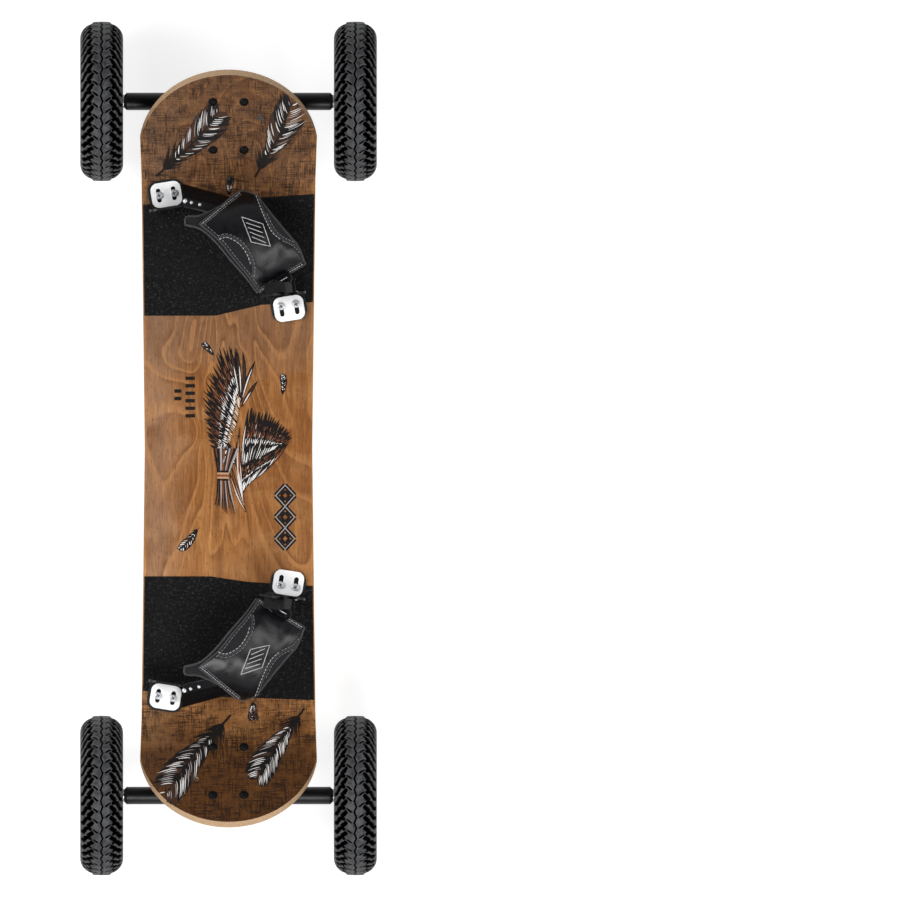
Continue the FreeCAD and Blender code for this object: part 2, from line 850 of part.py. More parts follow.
def lever_pivot(radius, y_low, y_high, sign):
    """A cylinder on the axis of a ratchet's lever."""
    reach = "ladder_radius+ladder_half_width+7"
    x = f"anchor_x+({reach})*cos(lever_pivot_angle)"
    z = f"anchor_height+({reach})*sin(lever_pivot_angle)"
    return cylinder(radius, f"({y_high})-({y_low})", x, span(y_low, y_high, sign)[0], z, ALONG_Y)


def ratchet(end):
    """The toothed strap on the buckle bracket, the ratchet body that slides on it, and its lever."""
    sign = mirror_sign(end)
    place = binding_placement(end)
    inside = "ladder_radius-ladder_half_width"
    outside = "ladder_radius+ladder_half_width"
    near = "-wall_y"
    ladder = ring_sector(inside, outside, -4, 36, near, f"{near}+ladder_thickness", sign)
    node(f"{end}_ladder_strap", ladder, place)

    low = f"{near}-buckle_wall"
    high = f"{near}+buckle_width"
    shell = ring_sector(
        f"{inside}-buckle_rim", f"{outside}+buckle_rim", "buckle_start", "buckle_stop", low, high, sign
    )
    slot = ring_sector(
        f"{inside}-0.3", f"{outside}+0.3", 8, 30, f"{near}-0.3", f"{near}+ladder_thickness+0.3", sign
    )
    lugs = [
        lever_pivot("lug_radius", low, f"{near}+0.6", sign),
        lever_pivot("lug_radius", f"{near}+lever_width+1.4", high, sign),
    ]
    pin = lever_pivot("lever_pin_radius", low, high, sign)
    node(f"{end}_buckle_body", fuse(cut(shell, slot), *lugs, pin), place)

    arm = ring_sector(
        f"{outside}+3.9", f"{outside}+7", "lever_start", 27, f"{near}+1", f"{near}+1+lever_width", sign
    )
    knuckle = lever_pivot("knuckle_radius", f"{near}+1", f"{near}+1+lever_width", sign)
    bore = lever_pivot("lever_pin_radius+0.1", f"{near}-1", f"{near}+3+lever_width", sign)
    node(f"{end}_buckle_lever", cut(fuse(arm, knuckle), bore), place)


deck()
grip_tape()
truck_fasteners()
for end in ("front", "rear"):
    base_plate(end)
    kingpin(end)
    hanger(end)
    axle(end)
    shock_blocks(end)
    for side in ("left", "right"):
        wheel(end, side)
    brackets(end)
    strap_pad(end)
    ratchet(end)
clamp_hardware()
doc.recompute()

for piece in doc.Objects:
    if "Invalid" in piece.State or "Error" in piece.State:
        raise RuntimeError(f"{piece.Label} failed: {piece.State}")
for piece in NODES:
    if piece.Shape.isNull() or not piece.Shape.isValid() or not piece.Shape.Solids:
        raise RuntimeError(f"{piece.Label} has no valid shape")

os.makedirs("parts", exist_ok=True)
for piece in NODES:
    piece.Shape.exportStep(f"parts/{piece.Label}.step")
    print(piece.Label, len(piece.Shape.Solids), round(piece.Shape.Volume / 1000, 2), "cm3")
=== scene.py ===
"""Looks for the mountainboard: deck with feather artwork, knobbly tyres, trucks and padded strap bindings.

Lengths below are millimetres unless a comment says metres, and mm() turns them into the scene's metres.
Sizes inside materials are metres, and those of noises are cycles over a metre.
"""

import math
import random

import bpy
import numpy as np
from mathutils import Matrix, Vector
from mathutils.bvhtree import BVHTree


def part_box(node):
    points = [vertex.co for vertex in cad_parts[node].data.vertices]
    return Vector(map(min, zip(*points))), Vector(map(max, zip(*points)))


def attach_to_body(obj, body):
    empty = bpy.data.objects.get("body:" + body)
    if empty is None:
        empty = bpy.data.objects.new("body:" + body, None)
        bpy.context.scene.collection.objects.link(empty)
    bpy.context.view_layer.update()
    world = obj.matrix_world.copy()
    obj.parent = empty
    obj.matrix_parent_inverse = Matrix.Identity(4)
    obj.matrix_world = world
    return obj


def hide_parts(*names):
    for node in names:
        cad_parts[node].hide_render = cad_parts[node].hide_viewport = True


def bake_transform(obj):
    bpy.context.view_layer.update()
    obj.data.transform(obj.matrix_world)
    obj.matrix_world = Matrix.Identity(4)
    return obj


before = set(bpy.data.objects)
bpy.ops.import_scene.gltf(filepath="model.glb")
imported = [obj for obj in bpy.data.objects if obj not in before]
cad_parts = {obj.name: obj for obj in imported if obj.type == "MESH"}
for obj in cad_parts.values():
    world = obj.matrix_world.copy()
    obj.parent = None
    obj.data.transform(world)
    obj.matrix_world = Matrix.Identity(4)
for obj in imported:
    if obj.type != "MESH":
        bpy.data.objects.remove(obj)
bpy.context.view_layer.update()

ENDS = ("front", "rear")
SIDES = ("left", "right")

# The board's own sizes, as designed.
TIP_ANGLE = math.radians(30)
UNDER_BEND_Y = 339
DECK_THICKNESS = 14
DECK_PLIES = 7
DECK_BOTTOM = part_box("deck")[0].z * 1000
DECK_TOP = DECK_BOTTOM + DECK_THICKNESS
TOP_BEND_Y = UNDER_BEND_Y - DECK_THICKNESS * math.tan(TIP_ANGLE / 2)
GRIP_THICKNESS = 0.9
TYRE_RADIUS = 100
# each binding's place in plan, its turn in degrees, and -1 where it is mirrored
BINDINGS = {"front": (-1, 247, 9, 1), "rear": (-2, -240, -9, -1)}
BRACKET_WALL_Y = 64
# the strap: its pivot's X in the binding's plan and height over the deck, and the arch of its outer face
PIVOT = (-52, 22)
PAD_HEIGHT = 85
PAD_HALF_SPAN = 84
PAD_SLOPE = 0.25
# the clamp plates: their middles, their bolts and the dark gaskets under them, which also stand in for the
# plates' painted shadow
CLAMP_X = 64.8
CLAMP_Y = 83.2
CLAMP_BOLT_Y = 82.6
CLAMP_BOLT_TOP = 9.15
SLOT_HALF_GAP = 9.5
RATCHET_SHIFT = 4
GASKET_AND_SHADOW_HALF = (22.5, 17.6)
GASKET_AND_SHADOW_THICKNESS = 1.6


def mm(*values):
    """A point or a length given in millimetres, in metres."""
    if len(values) == 1:
        return values[0] / 1000
    return Vector(values) / 1000


# ---------------------------------------------------------------- materials


class Shader:
    """A principled material and short ways to add nodes to it."""

    def __init__(self, name, **sockets):
        self.material = bpy.data.materials.new(name)
        self.material.use_nodes = True
        self.tree = self.material.node_tree
        self.principled = self.tree.nodes["Principled BSDF"]
        self.place = self.node("ShaderNodeTexCoord").outputs["Object"]
        for socket, value in sockets.items():
            self.set(socket.replace("_", " "), value)

    def node(self, kind, inputs=(), **settings):
        made = self.tree.nodes.new(kind)
        for key, value in settings.items():
            setattr(made, key, value)
        for key, value in dict(inputs).items():
            self.feed(made.inputs[key], value)
        return made

    def feed(self, socket, value):
        if isinstance(value, bpy.types.NodeSocket):
            self.tree.links.new(value, socket)
        elif isinstance(value, (tuple, list)) and len(value) == 3 and socket.type == "RGBA":
            socket.default_value = (*value, 1)
        else:
            socket.default_value = value

    def set(self, socket, value):
        self.feed(self.principled.inputs[socket], value)

    def stretched(self, x, y, z):
        """Object coordinates scaled along each axis."""
        return self.node("ShaderNodeMapping", {"Vector": self.place, "Scale": (x, y, z)}).outputs[0]

    def noise(self, scale, detail, roughness, vector=None, distortion=0):
        inputs = {"Scale": scale, "Detail": detail, "Roughness": roughness, "Distortion": distortion}
        inputs["Vector"] = vector if vector is not None else self.place
        return self.node("ShaderNodeTexNoise", inputs).outputs["Fac"]

    def ramp(self, factor, *stops):
        """A colour ramp from (position, colour or grey) stops."""
        made = self.node("ShaderNodeValToRGB", {"Fac": factor})
        elements = made.color_ramp.elements
        while len(elements) < len(stops):
            elements.new(1)
        for element, (position, colour) in zip(elements, stops):
            element.position = position
            colour = (colour,) * 3 if isinstance(colour, (int, float)) else colour
            element.color = (*colour, 1)
        return made.outputs["Color"]

    def mix(self, factor, a, b, blend="MIX"):
        made = self.node("ShaderNodeMix", data_type="RGBA", blend_type=blend)
        self.feed(made.inputs[0], factor)
        self.feed(made.inputs[6], a)
        self.feed(made.inputs[7], b)
        return made.outputs[2]

    def tinted(self, base, *tints):
        """The base mixed in turn towards other colours: (mask, share, colour) each."""
        for mask, share, colour in tints:
            base = self.mix(self.times(mask, share), base, colour)
        return base

    def math(self, operation, a, b=0.0, clamp=False):
        made = self.node("ShaderNodeMath", {0: a, 1: b}, operation=operation, use_clamp=clamp)
        return made.outputs[0]

    def times(self, a, b):
        return self.math("MULTIPLY", a, b)

    def plus(self, a, b):
        return self.math("ADD", a, b)

    def minus(self, a, b):
        return self.math("SUBTRACT", a, b)

    def smooth(self, value, low, high):
        """0 below low, 1 above high, and smooth between."""
        span = {"Value": value, "From Min": low, "From Max": high}
        return self.node("ShaderNodeMapRange", span, interpolation_type="SMOOTHSTEP").outputs[0]

    def axes(self, vector=None):
        """The X, Y and Z sockets of a vector."""
        return self.node("ShaderNodeSeparateXYZ", {0: vector if vector else self.place}).outputs

    def colour(self, factor, dark, light):
        """A base colour between two tones."""
        self.set("Base Color", self.mix(factor, dark, light))

    def roughness(self, factor, low, high):
        """A roughness that follows a factor, from (factor, roughness) to (factor, roughness)."""
        self.set("Roughness", self.ramp(factor, low, high))

    def pattern(self, kind, scale, **settings):
        """The outputs of a texture laid over the object."""
        return self.node(f"ShaderNodeTex{kind}", {"Vector": self.place, "Scale": scale}, **settings).outputs

    def bump(self, height, distance_mm, strength=1.0, base=None):
        inputs = {"Height": height, "Distance": mm(distance_mm), "Strength": strength}
        if base is not None:
            inputs["Normal"] = base
        made = self.node("ShaderNodeBump", inputs)
        self.set("Normal", made.outputs[0])
        return made.outputs[0]


def wood_material():
    """Brown-stained maple with a burlap print at the tips and bare plies on the edges."""
    s = Shader("StainedMaple", Coat_Weight=0.02, Coat_Roughness=0.3)
    x, y, z = s.axes()
    normal = s.axes(s.node("ShaderNodeTexCoord").outputs["Normal"])
    far = s.math("ABSOLUTE", y)
    rearward = s.times(y, -1.0)

    # grain along the board, bent a little by a slow warp
    warp = s.noise(6, 3, 0.5, s.stretched(1, 0.35, 1))
    offset = s.node("ShaderNodeCombineXYZ", {"X": s.times(warp, 0.02)}).outputs[0]
    warped = {0: s.stretched(1, 0.07, 1), 1: offset}
    grain = s.node("ShaderNodeVectorMath", warped, operation="ADD").outputs[0]
    fine = s.noise(700, 6, 0.7, grain)
    bands = s.noise(90, 5, 0.62, grain, 0.6)
    clouds = s.noise(9, 4, 0.6, s.stretched(1, 0.3, 1))
    flecks = s.noise(520, 3, 0.5, s.stretched(1, 0.3, 1))
    mottle = s.noise(34, 4, 0.65, s.stretched(0.7, 1, 1), 0.5)
    # the flame figure of a rotary-cut face: pale contour lines round slow swirls
    swirl = s.noise(11, 2, 0.45, s.stretched(1, 0.28, 1), 0.7)
    contour = s.math("FRACT", s.times(swirl, 13))
    flame = s.times(s.smooth(contour, 0.62, 0.9), s.smooth(contour, 1.0, 0.93))
    burn = s.times(s.smooth(contour, 0.4, 0.0), s.smooth(s.noise(15, 3, 0.6), 0.42, 0.6))
    # a painted sheen that makes the left side paler, bleaching and smoke along the board, and a paler rim
    left_sheen = s.smooth(s.plus(s.times(x, -1.0), s.times(mottle, 0.05)), 0.06, 0.12)
    smoky = s.smooth(s.plus(y, s.times(mottle, 0.04)), 0.09, 0.16)
    sunned = s.smooth(rearward, 0.07, 0.2)
    rim = s.smooth(s.math("ABSOLUTE", x), 0.101, 0.107)
    base = s.ramp(
        bands,
        (0.25, (0.13, 0.044, 0.009)),
        (0.42, (0.205, 0.074, 0.0165)),
        (0.58, (0.268, 0.106, 0.0275)),
        (0.78, (0.375, 0.168, 0.054)),
    )
    base = s.tinted(
        base,
        (s.smooth(clouds, 0.42, 0.62), 0.6, (0.165, 0.058, 0.014)),
        (s.smooth(mottle, 0.45, 0.7), 0.3, (0.38, 0.195, 0.075)),
        # painted sheen: the left side turned paler and greyer
        (left_sheen, 0.4, (0.31, 0.2, 0.13)),
        (smoky, 0.55, (0.15, 0.085, 0.05)),
        (sunned, 0.22, (0.5, 0.26, 0.115)),
        (burn, 0.6, (0.12, 0.042, 0.011)),
        (flame, 0.26, (0.5, 0.235, 0.08)),
        (rim, 0.45, (0.5, 0.22, 0.06)),
    )
    base = s.mix(0.34, base, s.ramp(fine, (0.34, 0.15), (0.66, 0.85)), "OVERLAY")
    base = s.tinted(base, (s.smooth(flecks, 0.6, 0.7), 0.55, (0.08, 0.027, 0.01)))

    # burlap print towards the tips: dark threads both ways over a darker stain
    ragged = s.plus(far, s.times(s.minus(s.noise(24, 5, 0.7), 0.5), 0.1))
    tip = s.smooth(ragged, 0.265, 0.325)
    dark_stain = s.smooth(ragged, 0.29, 0.4)
    warp_threads = s.smooth(s.noise(640, 4, 0.8, s.stretched(1, 0.06, 0.06)), 0.48, 0.56)
    weft_threads = s.smooth(s.noise(640, 4, 0.8, s.stretched(0.06, 1, 1)), 0.48, 0.56)
    threads = s.math("MAXIMUM", warp_threads, weft_threads)
    wear = s.smooth(s.noise(42, 5, 0.75), 0.36, 0.6)
    printed = s.times(s.times(threads, tip), s.plus(s.times(wear, 0.75), 0.22))
    # the tips darken over their stain, and the rear tip is darker still than the front
    rear = s.smooth(rearward, -0.1, 0.1)
    tip_darkening = s.times(dark_stain, s.plus(s.times(rear, 0.5), 0.38))
    base = s.mix(tip_darkening, base, (0.06, 0.022, 0.0055))
    base = s.tinted(base, (printed, 0.9, (0.009, 0.006, 0.005)))
    s.set("Specular IOR Level", s.minus(0.2, s.times(tip, 0.14)))

    # plies: height above the underside, which bends up at the tips
    above = s.minus(z, mm(DECK_BOTTOM))
    beyond = s.minus(far, mm(UNDER_BEND_Y))
    tip_height = s.minus(s.times(above, math.cos(TIP_ANGLE)), s.times(beyond, math.sin(TIP_ANGLE)))
    depth = s.math("MINIMUM", above, tip_height)
    ply = s.math("FRACT", s.times(depth, DECK_PLIES / mm(DECK_THICKNESS)))
    ply_grain = s.noise(500, 4, 0.6, s.stretched(1, 1, 0.2))
    ply_colour = s.ramp(
        ply,
        (0.0, (0.17, 0.1, 0.05)),
        (0.09, (0.46, 0.3, 0.17)),
        (0.5, (0.6, 0.42, 0.26)),
        (0.55, (0.36, 0.22, 0.12)),
    )
    ply_colour = s.mix(0.35, ply_colour, s.ramp(ply_grain, (0.3, 0.3), (0.7, 0.8)), "OVERLAY")
    # the faces show the stained veneer, and the edges the plies
    lean = s.times(s.smooth(far, 0.3345, 0.3395), math.sin(TIP_ANGLE))
    slope_normal = s.times(s.times(normal[1], s.math("SIGN", y)), lean)
    upright = s.math("SQRT", s.minus(1.0, s.times(lean, lean)))
    facing = s.math("ABSOLUTE", s.minus(s.times(normal[2], upright), slope_normal))
    s.colour(s.smooth(facing, 0.86, 0.97), ply_colour, base)
    s.roughness(bands, (0.3, 0.48), (0.7, 0.38))
    s.bump(s.plus(s.times(fine, 0.6), s.times(printed, 0.8)), 0.12, 0.6)
    return s.material


def grip_material():
    """Coarse black grit with a few bright grains."""
    s = Shader("GripGrit", Roughness=0.82, Specular_IOR_Level=0.18)
    grit = s.noise(340, 6, 0.85)
    cells = s.pattern("Voronoi", 1100.0)["Distance"]
    patches = s.smooth(s.noise(14, 4, 0.6), 0.4, 0.7)
    base = s.ramp(grit, (0.44, 0.0003), (0.51, 0.001), (0.56, 0.007), (0.66, 0.055))
    s.set("Base Color", s.tinted(base, (patches, 0.3, (0.005, 0.0052, 0.006))))
    s.bump(s.plus(grit, cells), 0.5, 0.9)
    return s.material


def metal_material(name, colour, roughness, metallic=1.0, brushed=None, specks=0.0):
    """Bare or coated metal with fine unevenness, and brushing along one axis if asked."""
    s = Shader(name, Metallic=metallic)
    if not metallic:
        s.set("Specular IOR Level", 0.3)
    grain = s.noise(900, 4, 0.6, s.stretched(*brushed) if brushed else None)
    tone = s.smooth(s.noise(35, 3, 0.5), 0.35, 0.65)
    base = s.mix(tone, colour, tuple(c * 0.88 for c in colour))
    if specks:
        base = s.tinted(base, (s.smooth(s.noise(260, 4, 0.7), 0.64, 0.72), specks, (0.2, 0.2, 0.2)))
    s.set("Base Color", base)
    s.roughness(grain, (0.3, roughness * 0.82), (0.7, min(1, roughness * 1.25)))
    s.bump(grain, 0.06, 0.35)
    return s.material


def rubber_material(name, colour, roughness=0.6, scale=320, specular=0.2):
    """Matt rubber or moulded plastic with a fine skin."""
    s = Shader(name, Specular_IOR_Level=specular)
    skin = s.noise(scale, 4, 0.6)
    tone = s.smooth(s.noise(30, 4, 0.6), 0.3, 0.7)
    s.colour(tone, colour, tuple(c * 0.7 for c in colour))
    s.roughness(skin, (0.3, roughness * 0.85), (0.7, min(1, roughness * 1.15)))
    s.bump(skin, 0.1, 0.4)
    return s.material


def tyre_material():
    """Black rubber, grey where the tread touches the ground, with a painted highlight round the rims of the
    grooves and painted shade down in them.
    """
    s = Shader("TyreRubber")
    depth = s.node("ShaderNodeAttribute", attribute_name="groove").outputs["Fac"]
    s.set("Specular IOR Level", s.times(s.math("SUBTRACT", 1.0, depth, True), 0.26))
    dust_and_highlight = s.noise(160, 5, 0.7)
    top = s.mix(s.smooth(dust_and_highlight, 0.35, 0.68), (0.02, 0.0205, 0.0215), (0.062, 0.063, 0.066))
    # painted highlight: the rims of the grooves made paler where they would catch the light, more so where
    # the noise is high
    edge = s.ramp(depth, (0.0, 0.0), (0.06, 0.75), (0.22, 0.0))
    top = s.tinted(top, (edge, dust_and_highlight, (0.2, 0.2, 0.205)))
    # painted shade: the grooves turn near black as they deepen
    s.colour(s.smooth(depth, 0.08, 0.34), top, (0.0004, 0.0004, 0.0005))
    s.set("Roughness", s.plus(s.ramp(dust_and_highlight, (0.3, 0.5), (0.7, 0.66)), s.times(depth, 0.3)))
    s.bump(s.noise(900, 3, 0.6), 0.12, 0.5)
    return s.material


def vinyl_material():
    """Glossy black vinyl with a soft pebble and small creases."""
    s = Shader("PadVinyl", Coat_Weight=0.06, Coat_Roughness=0.2, Specular_IOR_Level=0.28)
    pebble = s.pattern("Voronoi", 900.0)["Distance"]
    creases = s.noise(70, 5, 0.6, None, 1.2)
    s.colour(s.smooth(creases, 0.3, 0.7), (0.003, 0.003, 0.0036), (0.006, 0.006, 0.0072))
    s.roughness(creases, (0.35, 0.26), (0.7, 0.36))
    s.bump(pebble, 0.12, 0.35, s.bump(creases, 0.7, 0.3))
    return s.material


def neoprene_material():
    """Charcoal knitted facing over foam."""
    s = Shader("Neoprene", Roughness=0.92, Sheen_Weight=0.12, Sheen_Roughness=0.5, Specular_IOR_Level=0.2)
    knit = {"Vector": s.place, "Scale": 260.0, "Distortion": 2.0, "Detail": 2.0}
    ribs = s.node("ShaderNodeTexWave", knit, bands_direction="DIAGONAL").outputs["Fac"]
    fuzz = s.noise(1400, 3, 0.7)
    s.colour(fuzz, (0.003, 0.003, 0.0036), (0.017, 0.017, 0.019))
    s.bump(s.plus(ribs, fuzz), 0.3, 0.7)
    return s.material


def thread_material(name, colour):
    """Twisted sewing thread."""
    s = Shader(name, Roughness=0.75, Sheen_Weight=0.3)
    twist = s.pattern("Wave", 900.0, bands_direction="DIAGONAL")["Fac"]
    s.colour(twist, tuple(c * 0.6 for c in colour), colour)
    s.bump(twist, 0.1, 0.6)
    return s.material


def webbing_material():
    """Woven black strap."""
    s = Shader("BlackWebbing", Roughness=0.8, Sheen_Weight=0.2)
    weave = s.pattern("Checker", 700.0)["Fac"]
    fuzz = s.noise(800, 4, 0.6)
    s.colour(fuzz, (0.01, 0.01, 0.011), (0.03, 0.03, 0.032))
    s.bump(s.plus(weave, fuzz), 0.2, 0.6)
    return s.material


def polyurethane_material():
    """Slightly waxy yellow elastomer."""
    s = Shader("YellowUrethane", Subsurface_Weight=0.15, Subsurface_Radius=(0.004, 0.003, 0.001))
    tone = s.noise(60, 4, 0.6)
    s.colour(tone, (0.78, 0.6, 0.03), (0.62, 0.44, 0.015))
    s.roughness(tone, (0.3, 0.36), (0.7, 0.5))
    s.bump(s.noise(300, 3, 0.5), 0.1, 0.3)
    return s.material


def ink_material():
    """Printed ink: its tone is kept on the mesh, broken up where the print is worn."""
    s = Shader("PrintedInk", Roughness=0.6, Specular_IOR_Level=0.12)
    tone = s.node("ShaderNodeAttribute", attribute_name="ink").outputs["Color"]
    worn = s.smooth(s.noise(420, 4, 0.7), 0.56, 0.72)
    s.set("Base Color", s.tinted(tone, (worn, 0.55, (0.1, 0.045, 0.02))))
    s.bump(s.noise(700, 3, 0.6), 0.03, 0.4)
    return s.material


MATERIALS = {
    "wood": wood_material(),
    "grip": grip_material(),
    "black_metal": metal_material("SatinBlackCoat", (0.006, 0.006, 0.007), 0.38, 0.0, None, 0.12),
    "black_steel": metal_material("BlackOxideSteel", (0.022, 0.022, 0.025), 0.34, 0.6),
    "steel": metal_material("ZincSteel", (0.66, 0.67, 0.7), 0.34, 0.45),
    "aluminium": metal_material("BrushedAluminium", (1.0, 1.0, 1.0), 0.38, 0.12, (1, 0.06, 1)),
    "urethane": polyurethane_material(),
    "nylon": rubber_material("BlackNylon", (0.003, 0.003, 0.0036), 0.5, 320, 0.08),
    "moulded": rubber_material("MouldedStrap", (0.004, 0.004, 0.0046), 0.3, 500),
    "bush": rubber_material("BushPlastic", (0.05, 0.05, 0.052), 0.5),
    "tube": rubber_material("TubeRubber", (0.02, 0.02, 0.021), 0.7),
    "tyre": tyre_material(),
    "vinyl": vinyl_material(),
    "neoprene": neoprene_material(),
    "grey_thread": thread_material("GreyThread", (0.56, 0.56, 0.57)),
    # the grey thread painted darker: painted shade on the dim rows of stitches
    "shaded_thread": thread_material("ShadedThread", (0.17, 0.17, 0.175)),
    "webbing": webbing_material(),
    "ink": ink_material(),
}

# ---------------------------------------------------------------- helpers for meshes


def mesh_piece(name, points, faces, material, smooth=True):
    """A mesh object from points in metres."""
    mesh = bpy.data.meshes.new(name)
    mesh.from_pydata([tuple(p) for p in points], [], faces)
    mesh.validate()
    mesh.polygons.foreach_set("use_smooth", [smooth] * len(mesh.polygons))
    mesh.materials.append(MATERIALS[material])
    piece = bpy.data.objects.new(name, mesh)
    bpy.context.scene.collection.objects.link(piece)
    return piece


def attach(piece, body):
    """Puts a piece on the body that carries it."""
    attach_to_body(piece, body)


def sheet_faces(nu, nv, flip):
    """Faces of a closed sheet whose points are a grid of tops and then the same grid of bottoms."""
    width = nv + 1
    offset = (nu + 1) * width
    faces = []
    for i in range(nu):
        for j in range(nv):
            a, b = i * width + j, i * width + j + 1
            c, d = b + width, a + width
            faces.append((a, b, c, d))
            faces.append((offset + d, offset + c, offset + b, offset + a))
    rim = list(range(nv)) + [i * width + nv for i in range(nu)]
    rim += [nu * width + j for j in range(nv, 0, -1)] + [i * width for i in range(nu, 0, -1)]
    faces += [(b, a, offset + a, offset + b) for a, b in zip(rim, rim[1:] + rim[:1])]
    return [face[::-1] for face in faces] if flip else faces


class Builder:
    """Collects closed little solids into one mesh."""

    def __init__(self):
        self.points = []
        self.faces = []
        self.tones = []

    def add(self, points, faces, tone=None):
        start = len(self.points)
        self.points += [Vector(p) for p in points]
        self.faces += [tuple(start + i for i in face) for face in faces]
        self.tones += [tone] * len(points)

    def rings(self, rings, tone=None):
        """A closed solid through rings of equal count, capped at both ends."""
        count = len(rings[0])
        points = [p for ring in rings for p in ring]
        faces = [tuple(range(count))[::-1], tuple(range(len(points) - count, len(points)))]
        for row in range(len(rings) - 1):
            for i in range(count):
                a, b = row * count + i, row * count + (i + 1) % count
                faces.append((a, b, b + count, a + count))
        self.add(points, faces, tone)

    def tube(self, path, radius, sides=8):
        """A round bar along a path of points."""
        rings = []
        for i, point in enumerate(path):
            ahead = path[min(i + 1, len(path) - 1)] - path[max(i - 1, 0)]
            across = ahead.cross(Vector((0, 0, 1)))
            if across.length < 1e-6 * max(ahead.length, 1e-9):
                across = ahead.cross(Vector((0, 1, 0)))
            across.normalize()
            up = across.cross(ahead).normalized()
            angles = [2 * math.pi * k / sides for k in range(sides)]
            rings.append([point + (across * math.cos(a) + up * math.sin(a)) * radius for a in angles])
        self.rings(rings)

    def lathe(self, profile, centre, axis, sides=20):
        """A turned solid: (distance along the axis, radius) pairs from end to end, in millimetres."""
        turn = Vector((0, 0, 1)).rotation_difference(axis)
        rings = []
        for height, radius in profile:
            ring = []
            for k in range(sides):
                a = 2 * math.pi * k / sides
                ring.append(centre + turn @ mm(radius * math.cos(a), radius * math.sin(a), height))
            rings.append(ring)
        self.rings(rings)

    def piece(self, name, material, smooth=True):
        made = mesh_piece(name, self.points, self.faces, material, smooth)
        if self.tones and self.tones[0] is not None:
            ink = made.data.color_attributes.new("ink", "FLOAT_COLOR", "POINT")
            ink.data.foreach_set("color", np.array([(*t, 1) for t in self.tones], np.float32).ravel())
        return made


def paint(node, material, bevel_mm=0.0, segments=2, limit=40):
    """Gives a CAD node its material, and a small bevel that catches the light."""
    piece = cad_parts[node]
    piece.data.materials.clear()
    piece.data.materials.append(MATERIALS[material])
    if bevel_mm:
        bevel = piece.modifiers.new("Bevel", "BEVEL")
        bevel.width = mm(bevel_mm)
        bevel.segments = segments
        bevel.limit_method = "ANGLE"
        bevel.angle_limit = math.radians(limit)
        bevel.harden_normals = True


def flat(points):
    """Plan points as vectors."""
    return [Vector((*p, 0)) for p in points]


def plan_curve(points, steps):
    """Points along a Catmull-Rom curve through plan points."""
    vectors = flat(points)
    made = []
    for i, (b, c) in enumerate(zip(vectors, vectors[1:])):
        a = vectors[i - 1] if i else b * 2 - c
        d = vectors[i + 2] if i + 2 < len(vectors) else c * 2 - b
        for k in range(steps):
            t = k / steps
            square, cube = 2 * a - 5 * b + 4 * c - d, 3 * b - a - 3 * c + d
            made.append(0.5 * ((2 * b) + (c - a) * t + square * t * t + cube * t**3))
    return [*made, vectors[-1]]


def even_steps(path, step):
    """Points at even distances along a path, each with its direction."""
    lengths = [0]
    for a, b in zip(path, path[1:]):
        lengths.append(lengths[-1] + (b - a).length)
    count = max(1, round(lengths[-1] / step))
    made = []
    j = 0
    for i in range(count + 1):
        want = lengths[-1] * i / count
        while j < len(path) - 2 and lengths[j + 1] < want:
            j += 1
        span = max(lengths[j + 1] - lengths[j], 1e-12)
        t = (want - lengths[j]) / span
        made.append((path[j].lerp(path[j + 1], t), (path[j + 1] - path[j]).normalized()))
    return made


# ---------------------------------------------------------------- tyres

PITCHES = 44
STEPS_PER_PITCH = 18
PITCH = 2 * math.pi * TYRE_RADIUS / PITCHES
# across the tyre: (half width, radius) of the tread's top from the crown to the end of the side knobs
TREAD_PROFILE = [(0, 100), (6, 99.8), (10.6, 99.3), (12.2, 97.4), (16, 95.9), (20, 93.2)]
TREAD_PROFILE += [(23.5, 89.4), (25.8, 85), (26.8, 80.5)]
SIDEWALL_PROFILE = [(26.9, 77), (26.0, 71), (24.6, 65), (22.8, 59), (21.2, 55), (20.2, 51.5), (18, 50.2)]
LINING_PROFILE = [(15.5, 50.2), (18, 58), (21.5, 70), (21.5, 78), (17, 87.5), (8, 92.5), (0, 93.6)]
# grooves on one side of the tread: path points (distance from the centre, along the tread), half width, depth
GROOVES = [
    ([(12.8, -0.4), (18.8, -6.0)], 2.6, 5.2),
    ([(16.4, 4.6), (18.4, 5.8)], 2.4, 5.0),
    ([(18.4, 5.6), (22.4, 4.2)], 1.3, 4.0),
    ([(22.6, 3.6), (27.6, -4.2)], 2.8, 5.0),
    ([(28.0, -4.6), (37.0, -6.2)], 2.5, 3.8),
    ([(11.8, 4.6), (8.8, 3.4), (5.4, 0.5)], 1.0, 3.0),
]
# the zigzag groove down the middle: swing to each side, half width, flank and depth
ZIGZAG = (1.3, 1.25, 0.6, 3.2)
GROOVE_FLANK = 0.9
# how far round from the middle the pattern ends, over what distance it fades, and a distance past every tread
TREAD_END = 38
FADE = 3
OFF_TREAD = 1e3


def profile_points(profile, spacing):
    """A smooth profile resampled evenly: (half width, radius) pairs."""
    return [tuple(p)[:2] for p, _ in even_steps(plan_curve(profile, 10), spacing)]


def groove_depth(across, along):
    """How deep the tread is cut at arrays of positions, in millimetres."""
    depth = np.zeros_like(across)
    swing, reach, flank, full = ZIGZAG
    wave = swing * (2 * np.abs(2 * ((along / PITCH) % 1) - 1) - 1)
    depth = np.maximum(depth, full * np.clip((reach - np.abs(across - wave)) / flank, 0, 1))
    for side in (-1, 1):
        shift = 0 if side < 0 else PITCH / 2
        for path, half_width, full in GROOVES:
            for (q0, s0), (q1, s1) in zip(path, path[1:]):
                for wrap in (-1, 0, 1, 2):
                    local = (along + shift) % PITCH - wrap * PITCH
                    q, s = across * side - q0, local - s0 + PITCH / 2
                    dq, ds = q1 - q0, s1 - s0
                    t = np.clip((q * dq + s * ds) / (dq * dq + ds * ds), 0, 1)
                    distance = np.hypot(q - t * dq, s - t * ds)
                    cut = np.clip((half_width + GROOVE_FLANK / 2 - distance) / GROOVE_FLANK, 0, 1)
                    depth = np.maximum(depth, full * cut)
    return depth


